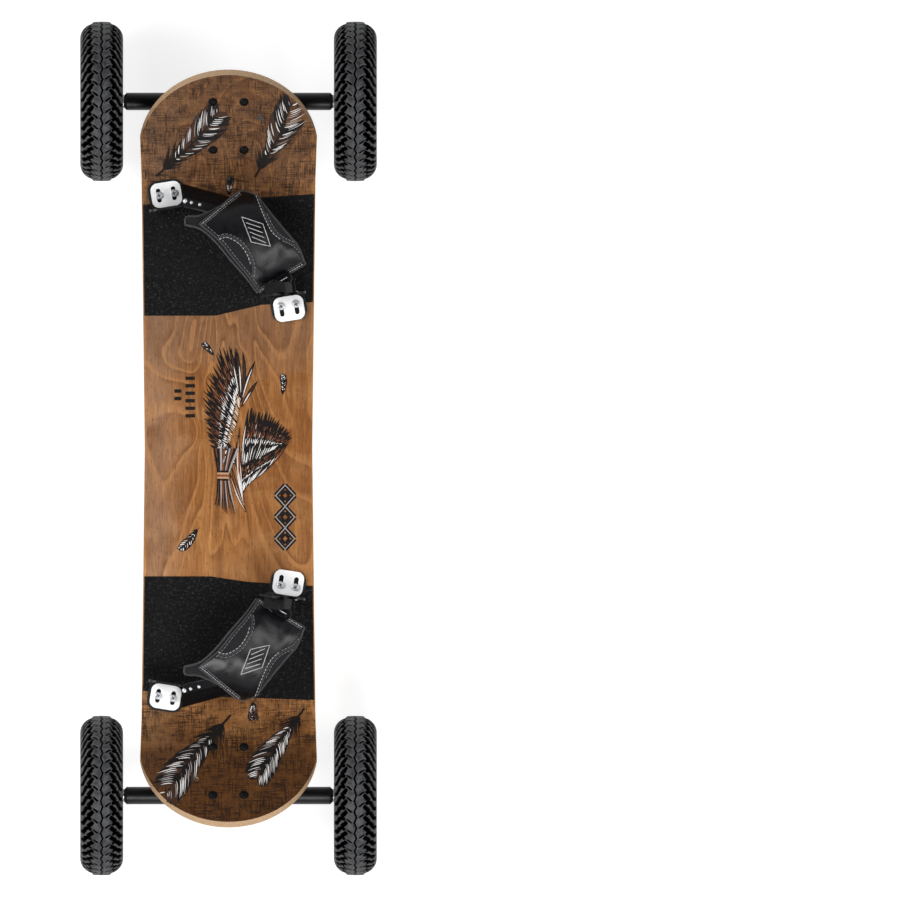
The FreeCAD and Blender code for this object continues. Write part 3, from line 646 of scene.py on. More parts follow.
def tyre_mesh():
    """One knobbly tyre about the X axis, centred on the origin, as a closed skin."""
    tread = profile_points(TREAD_PROFILE, 0.95)
    reach = [0]
    for (xa, ra), (xb, rb) in zip(tread, tread[1:]):
        reach.append(reach[-1] + math.hypot(xb - xa, rb - ra))
    walls = profile_points(SIDEWALL_PROFILE, 3.2)
    lining = profile_points(LINING_PROFILE, 6)
    half = tread + walls + lining[:-1]
    distance = reach + [OFF_TREAD] * (len(walls) + len(lining) - 1)
    section = [(x, r, d) for (x, r), d in zip(half, distance)] + [(*lining[-1], OFF_TREAD)]
    section += [(-x, r, -d) for (x, r), d in list(zip(half, distance))[:0:-1]]
    rows, columns = len(section), PITCHES * STEPS_PER_PITCH
    x0, r0, q0 = (np.array(c)[:, None] for c in zip(*section))
    # outward direction of the section at each point
    dx = np.roll(x0, -1, 0) - np.roll(x0, 1, 0)
    dr = np.roll(r0, -1, 0) - np.roll(r0, 1, 0)
    size = np.hypot(dx, dr)
    out_x, out_r = -dr / size, dx / size
    angle = (np.arange(columns) * 2 * math.pi / columns)[None, :]
    along = angle * TYRE_RADIUS + 0 * x0
    depth = np.where(np.abs(q0) < OFF_TREAD, groove_depth(q0 + 0 * along, along), 0)
    depth = depth * np.clip((TREAD_END - np.abs(q0)) / FADE, 0, 1)
    x = x0 - out_x * depth
    r = r0 - out_r * depth
    points = np.stack([x, r * np.cos(angle), -r * np.sin(angle)], -1).reshape(-1, 3) / 1000
    i, j = np.meshgrid(np.arange(rows), np.arange(columns), indexing="ij")
    beside, above = (j + 1) % columns, (i + 1) % rows
    a, b = i * columns + j, i * columns + beside
    c, d = above * columns + beside, above * columns + j
    quads = np.stack([a, d, c, b], -1).reshape(-1, 4)
    mesh = bpy.data.meshes.new("KnobblyTyre")
    mesh.from_pydata(points.tolist(), [], quads.tolist())
    mesh.polygons.foreach_set("use_smooth", [True] * len(mesh.polygons))
    groove = mesh.attributes.new("groove", "FLOAT", "POINT")
    groove.data.foreach_set("value", np.clip(depth / 3, 0, 1).astype(np.float32).ravel())
    mesh.materials.append(MATERIALS["tyre"])
    return mesh


def wheels():
    """The tyres, and the finish of everything inside them."""
    mesh = tyre_mesh()
    for end in ENDS:
        for side in SIDES:
            name = f"{end}_{side}"
            low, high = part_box(f"{name}_tyre")
            tyre = bpy.data.objects.new(f"{name}_knobbly_tyre", mesh)
            tyre.location = (low + high) / 2
            bpy.context.scene.collection.objects.link(tyre)
            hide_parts(f"{name}_tyre")
            attach(tyre, f"{name}_wheel")
            paint(f"{name}_inner_tube", "tube")
            for part in ("outer", "inner"):
                paint(f"{name}_hub_{part}", "nylon", 0.6)
            for part in ("bearings", "hub_bolts"):
                paint(f"{name}_{part}", "steel", 0.3)


# ---------------------------------------------------------------- printed artwork

INK_TONES = {
    "black": (0.006, 0.005, 0.005),
    "brown": (0.04, 0.019, 0.011),
    "rust": (0.17, 0.055, 0.02),
    "tan": (0.42, 0.24, 0.13),
    "grey": (0.3, 0.28, 0.27),
    "white": (0.68, 0.66, 0.64),
}
INK_LIFT = 0.05
INK_SINK = 0.02
# how much higher each tone of a plume lies than the one under it, and each plume than the last
INK_STEP = 0.014
PLUME_STEP = 0.0022
PRINT_MARGIN = 4
WAIST_HALF_WIDTH = 105
SHOULDER_HALF_WIDTH = 109
TIP_RADIUS = 112
TIP_LENGTH = 157
BEND_RADIUS = 22
INSERT_X = 40
INSERT_ALONG = 95


def on_deck(x, y, lift=0.0, under=False):
    """A point on the deck's top or underside from its place in plan, all in millimetres."""
    bend = UNDER_BEND_Y if under else TOP_BEND_Y
    base = DECK_BOTTOM if under else DECK_TOP
    radius = BEND_RADIUS + (DECK_THICKNESS if under else 0)
    tangent = radius * math.tan(TIP_ANGLE / 2)
    beyond = abs(y) - bend
    if beyond < -tangent:
        lean, rise = 0.0, 0.0
    elif beyond < tangent * math.cos(TIP_ANGLE):
        lean = math.asin((beyond + tangent) / radius)
        rise = radius * (1 - math.cos(lean))
    else:
        lean, rise = TIP_ANGLE, beyond * math.tan(TIP_ANGLE)
    side = -lift if under else lift
    shift = -side * math.sin(lean) * math.copysign(1, y)
    return mm(x, y + shift, base + rise + side * math.cos(lean))


def within_deck(x, y):
    """Whether a place in plan, in millimetres, is on the deck and clear of its edge."""
    y = abs(y)
    side = WAIST_HALF_WIDTH + (SHOULDER_HALF_WIDTH - WAIST_HALF_WIDTH) * min(y / UNDER_BEND_Y, 1)
    along = (y - UNDER_BEND_Y) / math.cos(TIP_ANGLE) - (TIP_LENGTH - TIP_RADIUS)
    return abs(x) < side - PRINT_MARGIN and math.hypot(x, max(0, along)) < TIP_RADIUS - PRINT_MARGIN


class Artist:
    """Lays thin strokes of ink on one side of the deck."""

    def __init__(self, seed, under=False):
        self.builder = Builder()
        self.random = random.Random(seed)
        self.under = under
        self.layer = INK_LIFT  # height of the next stroke over the deck

    def stroke(self, path, widths, tone):
        """A flat ribbon along 2D points, as a closed solid a few hundredths of a millimetre proud."""
        if not all(within_deck(p.x, p.y) for p in path):
            return
        top = self.layer + self.random.uniform(0, 0.012)
        rings = []
        for i, (point, width) in enumerate(zip(path, widths)):
            ahead = path[min(i + 1, len(path) - 1)] - path[max(i - 1, 0)]
            across = Vector((-ahead.y, ahead.x)).normalized() * width / 2
            a, b = point + across, point - across
            corners = ((a, top), (b, top), (b, -INK_SINK), (a, -INK_SINK))
            ring = [on_deck(p.x, p.y, lift, self.under) for p, lift in corners]
            rings.append(ring[::-1] if self.under else ring)
        self.builder.rings(rings, INK_TONES[tone])

    def feather(self, root, tip, width, light, barbs):
        """A plain feather: a dark vane of overlapping barbs, pale strokes on it, and a dark shaft."""
        root, tip = Vector(root), Vector(tip)
        axis = tip - root
        length = axis.length
        axis.normalize()
        normal = Vector((-axis.y, axis.x))
        bow = self.random.uniform(0.03, 0.07) * length * self.random.choice((-1, 1))

        def barb(side, t, reach, first, last):
            """Points along one barb, from a share of its length to another."""
            start = root + axis * length * t + normal * bow * math.sin(math.pi * t)
            sweep = reach * 1.15
            made = []
            for k in range(4):
                r = first + (last - first) * k / 3
                made.append(start + normal * side * reach * r + axis * sweep * r**1.5)
            return made

        base = self.layer
        gap = length * 0.8 / barbs
        strokes = []
        for side in (-1, 1):
            for i in range(barbs // 2):
                t = 0.19 * (2 * i + 0.5 * (side + 1)) / barbs + 0.01
                reach = width * self.random.uniform(0.12, 0.4)
                down = barb(side, t, reach, 0, 1)
                self.stroke(down, [gap * f for f in (0.8, 0.6, 0.35, 0.12)], "black")
            for i in range(barbs):
                t = 0.2 + 0.78 * i / barbs
                swell = math.sin(math.pi * (0.06 + 0.9 * (i + 0.5) / barbs) ** 1.12) ** 0.55
                reach = width / 2 * swell * self.random.uniform(0.9, 1.05)
                tone = self.random.choice(("black", "black", "brown"))
                self.stroke(barb(side, t, reach, 0, 1), [gap * f for f in (1.7, 1.9, 1.6, 0.3)], tone)
                if self.random.random() < light:
                    first = self.random.uniform(0.05, 0.35)
                    strokes.append((side, t, reach, first, first + self.random.uniform(0.45, 0.7)))
        self.layer = base + 0.03
        for side, t, reach, first, last in strokes:
            thick = max(0.55, min(gap * 0.6, 1.1)) * self.random.uniform(0.45, 1.2)
            tone = self.random.choice(("white", "white", "grey"))
            widths = [thick * f for f in (0.4, 1, 0.9, 0.2)]
            self.stroke(barb(side, t, reach, first, last), widths, tone)
        ends = (-0.12, 0.1, 0.35, 0.65, 0.93)
        points = [root + axis * length * t + normal * bow * math.sin(math.pi * max(t, 0)) for t in ends]
        thin = max(0.5, width * 0.055)
        self.stroke(points, [thin * f for f in (1, 1.2, 1, 0.6, 0.3)], "black")
        self.layer = base

    def plume(self, root, tip, width, inner, streak):
        """One narrow feather of a fan: a dark outline, a brown middle and a pale streak."""
        root, tip = Vector(root), Vector(tip)
        axis = tip - root
        normal = Vector((-axis.y, axis.x)).normalized()
        bow = self.random.uniform(-0.05, 0.05) * axis.length

        def line(first, last, shift):
            made = []
            for k in range(6):
                t = first + (last - first) * k / 5
                made.append(root + axis * t + normal * (bow * math.sin(math.pi * t) + shift))
            return made

        shape = (0.3, 0.75, 0.95, 1.0, 0.8, 0.12)
        base = self.layer
        self.stroke(line(0, 1, 0), [width * f for f in shape], "black")
        self.layer = base + INK_STEP
        self.stroke(line(0.04, 0.86, 0), [width * 0.58 * f for f in shape], inner)
        self.layer = base + 2 * INK_STEP
        if self.random.random() < streak:
            side = width * 0.12 * self.random.choice((-1, 1))
            tone = self.random.choice(("white", "white", "grey"))
            last = self.random.uniform(0.55, 0.85)
            self.stroke(line(0.12, last, side), [width * 0.3 * f for f in shape], tone)
        self.layer = base + PLUME_STEP

    def fan(self, roots, tips, count, width, rows):
        """Plumes from one curve to another, in rows from the longest to the shortest."""
        roots, tips = plan_curve(roots, 8), plan_curve(tips, 8)
        for share, inner, streak in rows:
            for i in range(count):
                t = (i + self.random.uniform(-0.15, 0.15)) / (count - 1)
                t = min(max(t, 0), 1)
                start = roots[round(t * (len(roots) - 1))]
                end = tips[round(t * (len(tips) - 1))]
                end = start.lerp(end, share * self.random.uniform(0.94, 1.03))
                self.plume(start.to_2d(), end.to_2d(), width * (0.65 + 0.35 * share), inner, streak)

    def tuft(self, centre, size, angle, count):
        """A patch of short dark feathers flecked with white."""
        for _ in range(count):
            turn = self.random.uniform(0, 2 * math.pi)
            out = self.random.random() ** 0.6
            spot = Vector(centre) + Vector((math.cos(turn) * size[0], math.sin(turn) * size[1])) * out
            lean = math.radians(angle + self.random.uniform(-24, 24))
            end = spot + Vector((math.cos(lean), math.sin(lean))) * self.random.uniform(5, 9)
            width = self.random.uniform(2, 3.2)
            self.plume(spot, end, width, self.random.choice(("black", "grey", "white")), 0.3)

    def quills(self, start, knot, end, spread, count):
        """Bare quills gathered through a wrapped tie, spreading a little at both ends."""
        start, knot, end = Vector(start), Vector(knot), Vector(end)
        axis = (end - start).normalized()
        side = Vector((-axis.y, axis.x))
        for k in range(count):
            share = 2 * k / (count - 1) - 1
            path = [
                start + side * spread * share,
                (start + knot) / 2 + side * spread * 0.66 * share,
                knot + side * spread * 0.4 * share,
                (knot + end) / 2 + side * spread * 0.56 * share,
                end + side * spread * 0.85 * share + axis * self.random.uniform(-7, 5),
            ]
            self.stroke(path, [2.8, 2.3, 1.7, 1.7, 0.4], ("black", "rust", "black", "brown", "grey")[k % 5])
        base = self.layer
        self.layer = base + 0.04
        for k, tone in enumerate(("black", "tan", "rust", "tan", "black")):
            centre = knot + axis * 2.6 * (k - 2)
            self.stroke([centre - side * spread * 0.48, centre + side * spread * 0.48], [2.4, 2.4], tone)
        self.layer = base

    def lozenge(self, centre, half):
        """A plain outlined lozenge."""
        middle = Vector(centre)
        corners = [Vector(p) * half for p in ((-1, 0), (0, 1.1), (1, 0), (0, -1.1), (-1, 0))]
        outlines = ((1, 0.5, "black", 0), (1, 0.1, "grey", 0.02), (0.45, 0.3, "black", 0))
        for scale, width, tone, layer in outlines:
            self.layer = INK_LIFT + layer
            for a, b in zip(corners, corners[1:]):
                self.stroke([middle + a * scale, middle + b * scale], [half * width] * 2, tone)
        self.layer = INK_LIFT

    def feathers(self, rows, wide, barbs):
        """Feathers from (root, tip, width, light) rows. Those over a width have more barbs."""
        for root, tip, width, light in rows:
            self.feather(root, tip, width, light, barbs if width > wide else 8)

    def bars(self, left, right, top, count):
        """A column of plain short bars."""
        for i in range(count):
            y = top - 9.4 * i
            self.stroke([Vector((left, y)), Vector((right, y))], [4.4, 4.4], "black")

    def finish(self, name):
        attach(self.builder.piece(name, "ink", False), "board")


def artwork():
    """Generic feathers and fans of feathers, where the board carries its print."""
    top = Artist(7)
    # single feathers: root, tip, width, and the share of barbs with a pale stroke
    scattered = [
        ((-82, 350), (-11, 424), 42, 0.62),
        ((38, 350), (79, 434), 44, 0.62),
        ((-6, -345), (-80, -436), 44, 0.8),
        ((89, -335), (35, -416), 38, 0.8),
        ((31, -318), (32, -340), 14, 0.95),
        ((0, 318), (4, 340), 10, 0.95),
        ((68, 68), (67.5, 94), 8, 0.9),
        ((-19, 117), (-33, 132), 8, 0.6),
        ((-39, -102), (-63, -127), 12, 0.95),
    ]
    top.feathers(scattered, 30, 28)
    # the rows of a fan: share of its length, tone of the middles, and how many carry a pale streak
    rows = (
        (1, "black", 0.1),
        (0.88, "rust", 0.35),
        (0.72, "rust", 0.8),
        (0.55, "white", 0.2),
        (0.42, "black", 0.7),
        (0.32, "white", 0.3),
        (0.18, "tan", 0.6),
    )
    arm = [(15, 64), (14, 50), (11, 32), (5, 14), (-3, -4)]
    edge = [(8, 127), (-9, 126), (-20, 104), (-29, 80), (-32, 57), (-30, 31), (-23, 4)]
    top.fan(arm, edge, 28, 4.2, rows)
    leading = (((14, 64), (1, 128)), ((15, 63), (10, 125)), ((16, 60), (18, 121)), ((16, 58), (33, 109)))
    for root, tip in (*leading, ((16, 52), (36, 84))):
        top.plume(root, tip, 4.6, "brown", 0.8)
    arm = [(17, -24), (28, -18), (42, -12), (56, 0)]
    edge = [(25, 50), (37, 50), (50, 44), (62, 36), (72, 26), (80, 14)]
    top.fan(arm, edge, 24, 4.2, rows[:5])
    top.fan([(17, -58), (24, -46), (36, -36)], [(20, -14), (36, -8), (58, 4), (81, 15)], 20, 4.4, rows[1:5])
    for k in range(7):
        top.plume((17 + 0.8 * k, -62 - 3 * k), (14 - 2.2 * k, 26 - 9 * k), 3, ("tan", "rust")[k % 2], 1)
    top.tuft((-4, -6), (13, 14), 262, 60)
    top.quills((-3, 0), (-7, -34), (-4, -78), 15, 15)
    for i in range(3):
        top.lozenge((71, -59 - 27 * i), 12)
    top.bars(-54, -42, 88, 6)
    top.bars(-68, -59, 72, 2)
    top.finish("print_top")

    below = Artist(11, True)
    scattered = [
        ((18, 402), (66, 366), 26, 0.5),
        ((-42, 412), (-98, 372), 26, 0.5),
        ((-12, 340), (0, 296), 17, 0.5),
        ((50, 294), (56, 254), 14, 0.5),
        ((-82, 318), (-46, 258), 24, 0.5),
        ((-14, 250), (-14, 228), 9, 0.5),
        ((-70, 236), (-90, 212), 10, 0.5),
        ((38, -180), (72, -218), 20, 0.5),
        ((34, -238), (62, -308), 26, 0.5),
        ((-20, -214), (-16, -244), 10, 0.6),
        ((-72, -240), (-70, -268), 12, 0.6),
        ((-36, -284), (-14, -348), 28, 0.5),
        ((38, -366), (90, -398), 28, 0.6),
        ((-88, -366), (-40, -404), 30, 0.6),
    ]
    below.feathers(scattered, 20, 18)
    arm, edge = [(18, 92), (4, 116), (-14, 130)], [(84, 214), (62, 208), (70, 180), (76, 150)]
    below.fan(arm, edge, 18, 6.4, rows)
    arm, edge = [(-4, 84), (-22, 96), (-34, 108)], [(0, 178), (-30, 176), (-62, 168), (-88, 150)]
    below.fan(arm, edge, 18, 6.4, rows)
    below.tuft((-8, 92), (22, 16), 250, 60)
    below.quills((-2, 92), (4, 68), (8, 42), 13, 13)
    arm, edge = [(-6, -62), (-24, -66), (-44, -60)], [(44, -128), (20, -168), (-26, -186), (-64, -196)]
    below.fan(arm, edge, 26, 6, rows)
    arm, edge = [(-10, -40), (-30, -34), (-46, -30)], [(44, -28), (20, -8), (-26, 6), (-70, -12)]
    below.fan(arm, edge, 16, 6, rows[1:])
    below.tuft((-22, -52), (22, 14), 200, 60)
    below.quills((-24, -48), (2, -52), (26, -56), 12, 11)
    for centre, half in (((-58, 10), 18), ((-12, 12), 15), ((38, 4), 18)):
        below.lozenge(centre, half)
    below.finish("print_under")


# ---------------------------------------------------------------- bindings

# outlines in a binding's own plan, millimetres: X from the anchor to the buckle, Y to the anchor
PAD_LEFT = [(-29, 40.5), (-8.5, 16.5), (6.5, -9.5), (21.5, -35), (32, -58)]
PAD_RIGHT = [(48.2, 63.9), (57, 47), (66.5, 29.5), (78, 10), (88, -7), (93.8, -31.5)]
PAD_FAR = [(-29, 40.5), (-1, 57), (26, 72.2), (38, 70.5), (48.2, 63.9)]
PAD_NEAR = [(32, -58), (54, -47.5), (73, -40), (93.8, -31.5)]
RIGHT_SEAM = [(48.2, 63.9), (53.6, 38.5), (60.4, 17.1), (71, 4), (83.3, -4.1), (91, -15)]
LEFT_ARC = [(-8.6, 18.8), (-1, 20), (6.6, 17.6), (18.1, 7.7), (25.8, -8.1), (28.3, -24.5), (25.1, -37)]
CLOTH_FRAMES = 16
SMOOTHING_PASSES = 16
SWELL_LIMIT = 3
LINER_LEFT = [(-46, 44), (-27, 34.5), (-11.5, 14.5), (3.5, -11.5), (18.5, -37), (29.5, -60.5)]
LINER_FAR = [(-46, 44), (-43.5, 54), (-26, 53), (0, 61), (26, 75), (50, 66)]
LINER_RIGHT = [(50, 66), (60, 48), (70, 30), (81, 10.5), (91, -6.5), (96.2, -32)]
LINER_NEAR = [(29.5, -60.5), (54, -50), (73, -42.5), (96.2, -32)]


def in_binding(end, x, y, z):
    """A point in the scene, from a place in a binding's own plan and its height over the deck."""
    bx, by, turn, sign = BINDINGS[end]
    a = math.radians(turn)
    y *= sign
    return mm(bx + x * math.cos(a) - y * math.sin(a), by + x * math.sin(a) + y * math.cos(a), DECK_TOP + z)


def arch_height(x, y):
    """Height of the strap's outer face over the deck."""
    share = min(abs(y) / PAD_HALF_SPAN, 0.999)
    return PAD_HEIGHT * (1 - share**2.5) ** 0.55 - PAD_SLOPE * x


def arch_normal(x, y):
    """Outward direction of the strap's outer face in the binding's own axes."""
    half = 0.5  # so that each rise is over one millimetre
    rise_x = arch_height(x + half, y) - arch_height(x - half, y)
    rise_y = arch_height(x, y + half) - arch_height(x, y - half)
    return Vector((-rise_x, -rise_y, 1)).normalized()


def even_points(points, count):
    """count + 1 points at even distances along a smooth curve in plan."""
    path = plan_curve(points, 14)
    length = sum((b - a).length for a, b in zip(path, path[1:]))
    return [p for p, _ in even_steps(path, length / count)]


def patch(left, right, far, near, nu, nv):
    """A grid of plan points filling four boundary curves: u from far to near, v from left to right."""
    left, right = even_points(left, nu), even_points(right, nu)
    far, near = even_points(far, nv), even_points(near, nv)
    grid = []
    for i in range(nu + 1):
        u = i / nu
        row = []
        for j in range(nv + 1):
            v = j / nv
            ruled = left[i].lerp(right[i], v) + far[j].lerp(near[j], u)
            corners = (left[0].lerp(right[0], v)).lerp(left[nu].lerp(right[nu], v), u)
            row.append(ruled - corners)
        grid.append(row)
    return grid


def shell(end, grid, outer, thickness, crown):
    """Points and faces of a closed padded layer, whose face is outer above the arch. crown thins its rim."""
    nu, nv = len(grid) - 1, len(grid[0]) - 1
    tops, bottoms = [], []
    for i, row in enumerate(grid):
        for j, p in enumerate(row):
            edge = min(i, nu - i) / nu * 2, min(j, nv - j) / nv * 2
            plump = (min(1, edge[0] * 2.2) * min(1, edge[1] * 2.2)) ** 0.5
            n = arch_normal(p.x, p.y)
            z = arch_height(p.x, p.y)
            up = outer - crown * (1 - plump)
            down = outer - thickness + crown * 0.3 * (1 - plump)
            tops.append(in_binding(end, p.x + n.x * up, p.y + n.y * up, z + n.z * up))
            bottoms.append(in_binding(end, p.x + n.x * down, p.y + n.y * down, z + n.z * down))
    return tops + bottoms, sheet_faces(nu, nv, BINDINGS[end][3] > 0)


def inside(point, polygon):
    """Whether a plan point lies inside a polygon."""
    hit = False
    for a, b in zip(polygon, polygon[1:] + polygon[:1]):
        if (a.y > point.y) != (b.y > point.y):
            if point.x < a.x + (b.x - a.x) * (point.y - a.y) / (b.y - a.y):
                hit = not hit
    return hit


def inflate(piece, pinned):
    """Swells a closed padded mesh with a short cloth run, pinned along its seams and capped in travel."""
    scene = bpy.context.scene
    group = piece.vertex_groups.new(name="seams")
    group.add(pinned, 1.0, "REPLACE")
    cloth = piece.modifiers.new("Cloth", "CLOTH")
    settings = cloth.settings
    settings.quality = 6
    settings.mass = 0.2
    settings.tension_stiffness = 25
    settings.compression_stiffness = 25
    settings.shear_stiffness = 12
    settings.bending_stiffness = 8
    settings.use_pressure = True
    settings.uniform_pressure_force = 1.6
    settings.vertex_group_mass = "seams"
    settings.shrink_min = -0.005
    settings.effector_weights.gravity = 0
    cloth.collision_settings.use_self_collision = False
    for number in range(1, CLOTH_FRAMES + 1):
        scene.frame_set(number)
    solved = piece.evaluated_get(bpy.context.evaluated_depsgraph_get())
    rest = np.empty(len(piece.data.vertices) * 3)
    piece.data.vertices.foreach_get("co", rest)
    moved = np.empty_like(rest)
    solved.data.vertices.foreach_get("co", moved)
    step = (moved - rest).reshape(-1, 3)
    # the foam behind the vinyl evens out the tightest wrinkles
    ends = np.empty(len(piece.data.edges) * 2, dtype=np.int64)
    piece.data.edges.foreach_get("vertices", ends)
    ends = ends.reshape(-1, 2)
    valence = np.bincount(ends.ravel(), minlength=len(step))[:, None]
    for _ in range(SMOOTHING_PASSES):
        around = np.zeros_like(step)
        np.add.at(around, ends[:, 0], step[ends[:, 1]])
        np.add.at(around, ends[:, 1], step[ends[:, 0]])
        step = 0.5 * step + 0.5 * around / np.maximum(valence, 1)
    size = np.linalg.norm(step, axis=1, keepdims=True)
    step *= np.minimum(1, mm(SWELL_LIMIT) / np.maximum(size, 1e-9))
    piece.modifiers.remove(cloth)
    piece.data.vertices.foreach_set("co", (rest.reshape(-1, 3) + step).ravel())
    piece.data.update()
    scene.frame_set(1)


def drape(end, surface, path, lift):
    """Plan points dropped on a surface: (point, normal) pairs lifted off it a little, in metres."""
    made = []
    for p in path:
        start = in_binding(end, p.x, p.y, 150)
        hit, normal, _, _ = surface.ray_cast(start, Vector((0, 0, -1)))
        if hit is not None:
            made.append((hit + normal * mm(lift), normal))
    return made


def stitch_row(builder, end, surface, points, step, inset):
    """A row of separate stitches along a seam, each over half a step long."""
    spots = [p + Vector((-d.y, d.x, 0)) * inset for p, d in even_steps(plan_curve(points, 12), step / 4)]
    line = drape(end, surface, spots, 0.22)
    for k in range(0, len(line) - 3, 4):
        part = [p for p, _ in line[k : k + 4]]
        sink = line[k][1] * mm(0.35)
        builder.tube([part[0] - sink, *part[:3], part[2].lerp(part[3], 0.4) - sink], mm(0.42), 6)


def strap_pad(end):
    """The padded vinyl strap: liner, outer pad with two knitted windows, piping and stitching."""
    body = f"{end}_strap"
    nu, nv = 64, 48
    grid = patch(PAD_LEFT, PAD_RIGHT, PAD_FAR, PAD_NEAR, nu, nv)
    points, faces = shell(end, grid, outer=0.6, thickness=6.4, crown=2.6)
    pad = mesh_piece(f"{end}_strap_outer_pad", points, faces, "vinyl")
    pad.data.materials.append(MATERIALS["neoprene"])
    right_window = flat(PAD_RIGHT[:-1] + RIGHT_SEAM[::-1])
    left_window = plan_curve(LEFT_ARC, 8) + flat([(21.5, -38), (6, -12), (-10, 15)])
    plan = [p for row in grid for p in row]
    pinned = []
    for polygon in pad.data.polygons:
        if max(polygon.vertices) < len(plan):
            centre = sum((plan[v] for v in polygon.vertices), Vector()) / 4
            if inside(centre, left_window) or inside(centre, right_window):
                polygon.material_index = 1
                pinned += list(polygon.vertices)
    width = nv + 1
    for i in range(nu + 1):
        for j in range(nv + 1):
            if i < 2 or j < 2 or i > nu - 2 or j > nv - 2:
                pinned.append(i * width + j)
    pinned += [len(plan) + k for k in range(len(plan))]
    inflate(pad, sorted(set(pinned)))
    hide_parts(f"{end}_strap_pad")
    attach(pad, body)
    surface = BVHTree.FromObject(pad, bpy.context.evaluated_depsgraph_get())

    liner_rows, liner_columns = 48, 32
    liner_grid = patch(LINER_LEFT, LINER_RIGHT, LINER_FAR, LINER_NEAR, liner_rows, liner_columns)
    points, faces = shell(end, liner_grid, outer=-4.6, thickness=3.6, crown=0.8)
    liner = mesh_piece(f"{end}_strap_liner", points, faces, "neoprene")
    attach(liner, body)

    piping = Builder()
    for points in (LEFT_ARC, RIGHT_SEAM):
        line = drape(end, surface, plan_curve(points, 10), 0.1)
        piping.tube([p for p, _ in line], mm(0.8))
    rims = (
        [i * width for i in range(nu + 1)],
        [i * width + nv for i in range(nu + 1)],
        list(range(width)),
        [nu * width + j for j in range(width)],
    )
    for rim in rims:
        piping.tube([pad.data.vertices[k].co.copy() for k in rim], mm(1.15))
    width = liner_columns + 1
    for rim in ([i * width for i in range(liner_rows + 1)], list(range(width))):
        piping.tube([liner.data.vertices[k].co.copy() for k in rim], mm(1.3))
    attach(piping.piece(f"{end}_strap_piping", "webbing"), body)

    # rows of stitches: thread, seam, step from one stitch to the next, and distance beside the seam; the dim
    # rows are the grey thread painted darker, as painted shade
    bright, dim = Builder(), Builder()
    rows = (
        (bright, PAD_FAR[:3], 3.4, -2.4),
        (dim, PAD_FAR[:3], 3.4, -4.6),
        (bright, PAD_NEAR, 3.4, 2.4),
        (dim, PAD_NEAR, 3.4, 4.6),
        (dim, PAD_LEFT, 4.8, 2.6),
        (bright, RIGHT_SEAM[:4], 4.2, -2.2),
        (dim, RIGHT_SEAM[3:], 4.2, -2.2),
        (dim, RIGHT_SEAM[1:], 4.6, 2.4),
        (dim, LEFT_ARC, 4.6, 2.2),
        (bright, LEFT_ARC[:-1], 5.2, -2.2),
    )
    for builder, seam, step, inset in rows:
        stitch_row(builder, end, surface, seam, step, inset)
    # a plain stitched lozenge with four bars, in the middle of the pad
    marks = [[(24, 40), (49, 27), (54, -2), (31, 7), (24, 40)]]
    marks += [[(28 + 1.6 * k, 32 - 6.2 * k), (46 + 1.0 * k, 23 - 6.6 * k)] for k in range(4)]
    for corners in marks:
        for a, b in zip(corners, corners[1:]):
            first, last = flat((a, b))
            points = [first.lerp(last, k / 6) for k in range(7)]
            bright.tube([p for p, _ in drape(end, surface, points, 0.1)], mm(0.45), 6)
    for builder, material in ((bright, "grey_thread"), (dim, "shaded_thread")):
        attach(builder.piece(f"{end}_strap_{material}", material), body)


def anchor_flap(end):
    """The wide flap that ties the strap to its bracket, and its rivets."""
    low_in, low_out = Vector((-46, 63.2, 42)), Vector((-43, 93, 15))
    high_in, high_out = Vector((-8, 48, 61)), Vector((18, 65, 41))
    nu, nv = 18, 14
    layers = []
    for lift in (0, -3.4):
        rows = []
        for i in range(nu + 1):
            u = i / nu
            row = []
            for j in range(nv + 1):
                v = j / nv
                p = low_in.lerp(low_out, v).lerp(high_in.lerp(high_out, v), u)
                bulge = 5 * math.sin(math.pi * v) + 3 * math.sin(math.pi * u)
                ridge = 1.6 * math.exp(-(((v - 0.42) / 0.07) ** 2))
                valley = 0.8 * math.exp(-(((v - 0.58) / 0.1) ** 2))
                row.append(in_binding(end, p.x, p.y, p.z + bulge + ridge - valley + lift))
            rows.append(row)
        layers.append(rows)
    points = [p for rows in layers for row in rows for p in row]
    faces = sheet_faces(nu, nv, BINDINGS[end][3] > 0)
    start, stop = in_binding(end, -48, 64, 30), in_binding(end, -14, 64, 50)
    flap = mesh_piece(f"{end}_anchor_flap", points, faces, "moulded")
    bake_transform(flap)

    rivets = Builder()
    for u, v in ((0.05, 0.26), (0.24, 0.28), (0.44, 0.28)):
        i, j = round(u * nu), max(1, round(v * nv))
        centre = layers[0][i][j]
        axis = (centre - layers[1][i][j]).normalized()
        size = 3.0 if u < 0.1 else 2.2
        profile = [(-1, 0.5), (0, size), (0.5, size), (1.3, size * 0.75), (1.7, size * 0.3)]
        rivets.lathe(profile, centre, axis)
    made = rivets.piece(f"{end}_anchor_rivets", "steel")
    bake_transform(made)


def oval_ring(end, centre, half_x, half_y, z, turn=0, sides=28, power=0.75, phase=0.0):
    """A rounded oval in a binding's plan, squarer for a lower power."""
    ring = []
    t = math.radians(turn)
    for k in range(sides):
        a = 2 * math.pi * (k + phase) / sides
        c, s = math.cos(a), math.sin(a)
        x = half_x * math.copysign(abs(c) ** power, c)
        y = half_y * math.copysign(abs(s) ** power, s)
        px = centre[0] + x * math.cos(t) - y * math.sin(t)
        py = centre[1] + x * math.sin(t) + y * math.cos(t)
        ring.append(in_binding(end, px, py, z))
    return ring if BINDINGS[end][3] > 0 else ring[::-1]


